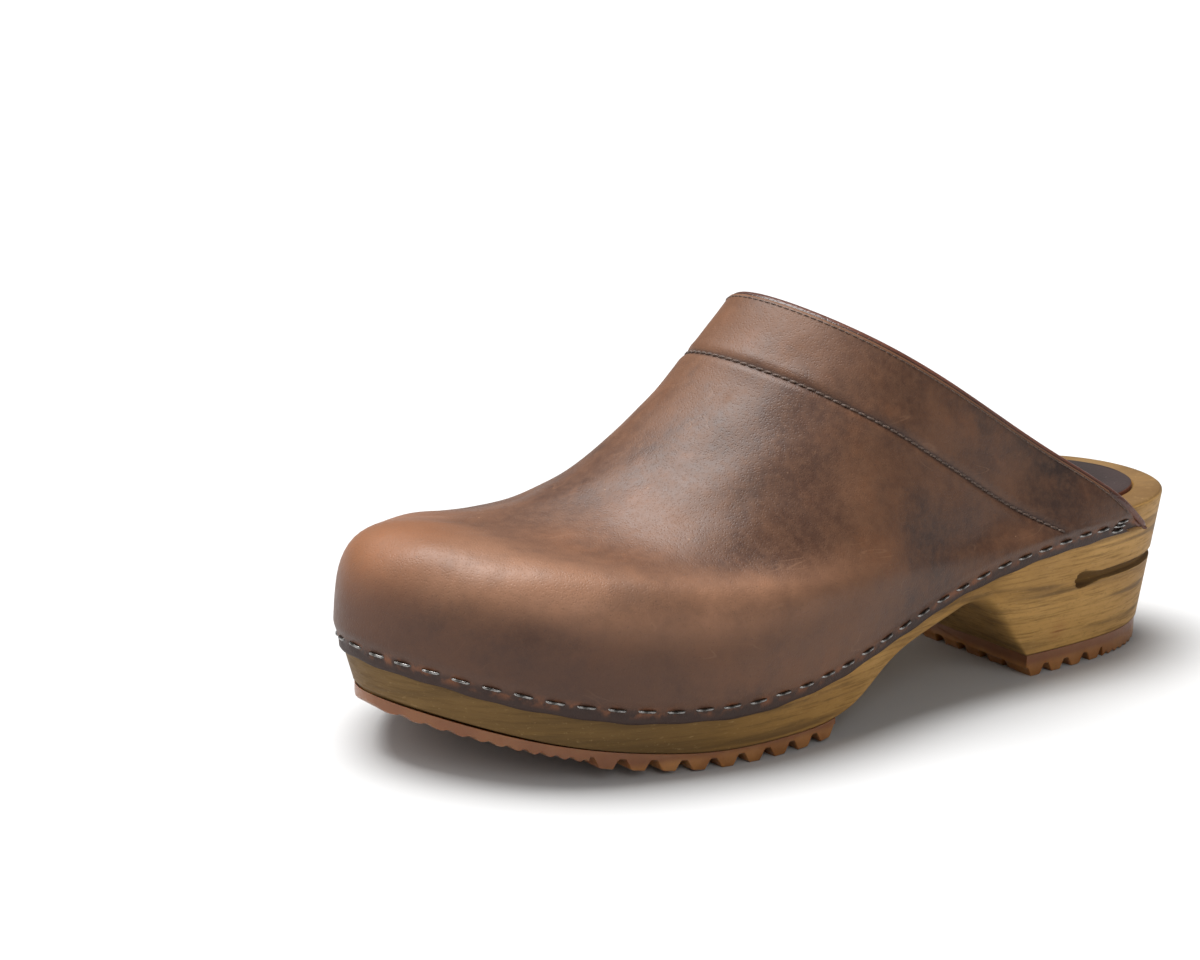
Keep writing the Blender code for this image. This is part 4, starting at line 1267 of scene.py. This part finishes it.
def staples(shape, material):
    """Bent wires over the leather, with their legs in the wood."""
    half = CROWN / 2
    left = [(-half, 0, WIRE_LIFT - LEG)]
    left += [(-half + WIRE_BEND * (1 - math.cos(a)), 0,
              WIRE_LIFT - WIRE_BEND + WIRE_BEND * math.sin(a))
             for a in np.radians(np.linspace(0, 90, 5))]
    path = np.array(left + [(0, 0, WIRE_LIFT + 0.08)] + [(-x, y, z) for x, y, z in left[::-1]])
    points, faces = sweep(path, np.tile((0.0, 1.0, 0.0), (len(path), 1)), WIRE_RADIUS, sides=10)
    wire = bpy.data.meshes.new("staple_wire")
    wire.from_pydata((points * MM).tolist(), [], faces)
    wire.materials.append(material)
    wire.shade_smooth()

    rng = np.random.default_rng(7)
    base = arc_lengths(staple_line(shape))
    for k, (distance, height) in enumerate(staple_distances(shape)):
        shift = rng.uniform(-STAPLE_SHIFT, STAPLE_SHIFT)
        height = height + shift * (k % CAD_STAPLES_PER_SIDE >= CORNER_STAPLES)
        level, normals = shape.at(np.full((len(shape.s), 1), height))
        level, normals = level[:, 0], normals[:, 0]
        ends = interpolate(distance + np.array([-half, half]), base, level)
        outward = unit(interpolate(distance, base, normals))
        direction = unit(ends[1] - ends[0])
        outward = unit(outward - direction * (outward @ direction))
        tilt = rng.uniform(-STAPLE_TILT, STAPLE_TILT)
        across_wire = np.cross(outward, direction)
        direction = unit(direction + across_wire * tilt)
        across_wire = np.cross(outward, direction)
        middle = (ends[0] + ends[1]) / 2 - outward * (WIRE_SINK + skived(height))
        turn = Matrix((direction, across_wire, outward)).transposed().to_4x4()
        name = f"staple_wire_{k + 1:02d}"
        staple = bpy.data.objects.new(name, wire)
        bpy.context.scene.collection.objects.link(staple)
        staple.matrix_world = Matrix.Translation(Vector(to_world(middle))) @ turn
        if k < 2 * CAD_STAPLES_PER_SIDE:
            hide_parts(f"staple_{k + 1:02d}")
        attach(staple, "root")


# ---------------------------------------------------------------- studio

def floor_paper():
    n = Nodes("floor_paper")
    return n.finish(Base_Color=(0.55, 0.55, 0.55), Roughness=0.95, Specular_IOR_Level=0.1)


def soft_sun(name, direction, strength, spread):
    """Even light from a direction, as soft as its spread in degrees."""
    data = bpy.data.lights.new(name, "SUN")
    data.energy = strength
    data.angle = math.radians(spread)
    light = bpy.data.objects.new(name, data)
    light.rotation_euler = Vector(direction).to_track_quat("Z", "Y").to_euler()
    bpy.context.scene.collection.objects.link(light)


def studio():
    bpy.ops.mesh.primitive_plane_add(size=FLOOR_SIZE, location=(0.1, 0, 0))
    floor = bpy.context.object
    floor.name = "floor"
    floor.data.materials.append(floor_paper())
    world = bpy.data.worlds.new("studio")
    world.use_nodes = True
    background = world.node_tree.nodes["Background"]
    background.inputs["Color"].default_value = (1, 1, 1, 1)
    background.inputs["Strength"].default_value = WORLD_STRENGTH
    bpy.context.scene.world = world
    for sun in SUNS:
        soft_sun(*sun)
    bpy.context.scene.view_settings.view_transform = "Standard"


def camera():
    data = bpy.data.cameras.new("camera")
    data.lens = CAMERA_LENS
    data.sensor_width = CAMERA_SENSOR
    eye = bpy.data.objects.new("camera", data)
    place = Vector(CAMERA_PLACE)
    look = (Vector(CAMERA_AIM) - place).to_track_quat("-Z", "Y").to_matrix()
    roll = Matrix.Rotation(math.radians(CAMERA_ROLL), 3, "Z")
    eye.matrix_world = Matrix.Translation(place) @ (look @ roll).to_4x4()
    bpy.context.scene.collection.objects.link(eye)
    bpy.context.scene.camera = eye


# ---------------------------------------------------------------- the clog

def main():
    leather, flesh, edge = oiled_leather(), suede(), cut_leather()
    lining, thread = lining_leather(), waxed_thread()
    pieces = [wooden_base(alder_wood()), footbed(footbed_skin())]
    rubber = gum_rubber()
    pieces += [heel_tread(rubber), forefoot_tread(rubber)]

    shape = UpperShape(COLUMNS)
    upper, surface = leather_upper(shape, leather, flesh, edge)
    from_top = shape.length[:, None] - upper_rows(shape)
    pieces += [upper, topline_binding(shape, lining), piping_core(shape, cotton_cord())]

    seam = seam_line(shape, surface, from_top, SEAM_BELOW, STAPLE_LINE + 2.5)
    pieces.append(stitches("facing_stitches", *seam, STITCH_PITCH, THREAD_RADIUS,
                           ["facing_seam_thread"], thread))
    seam = seam_line(shape, surface, from_top, EDGE_SEAM_BELOW, STAPLE_LINE + 4)
    pieces.append(stitches("edge_stitches", *seam, EDGE_STITCH_PITCH, EDGE_THREAD_RADIUS,
                           ["topline_seam_thread"], thread, slant=0))
    for piece in pieces:
        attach(piece, "root")
    staples(shape, steel_wire())
    studio()
    camera()


main()
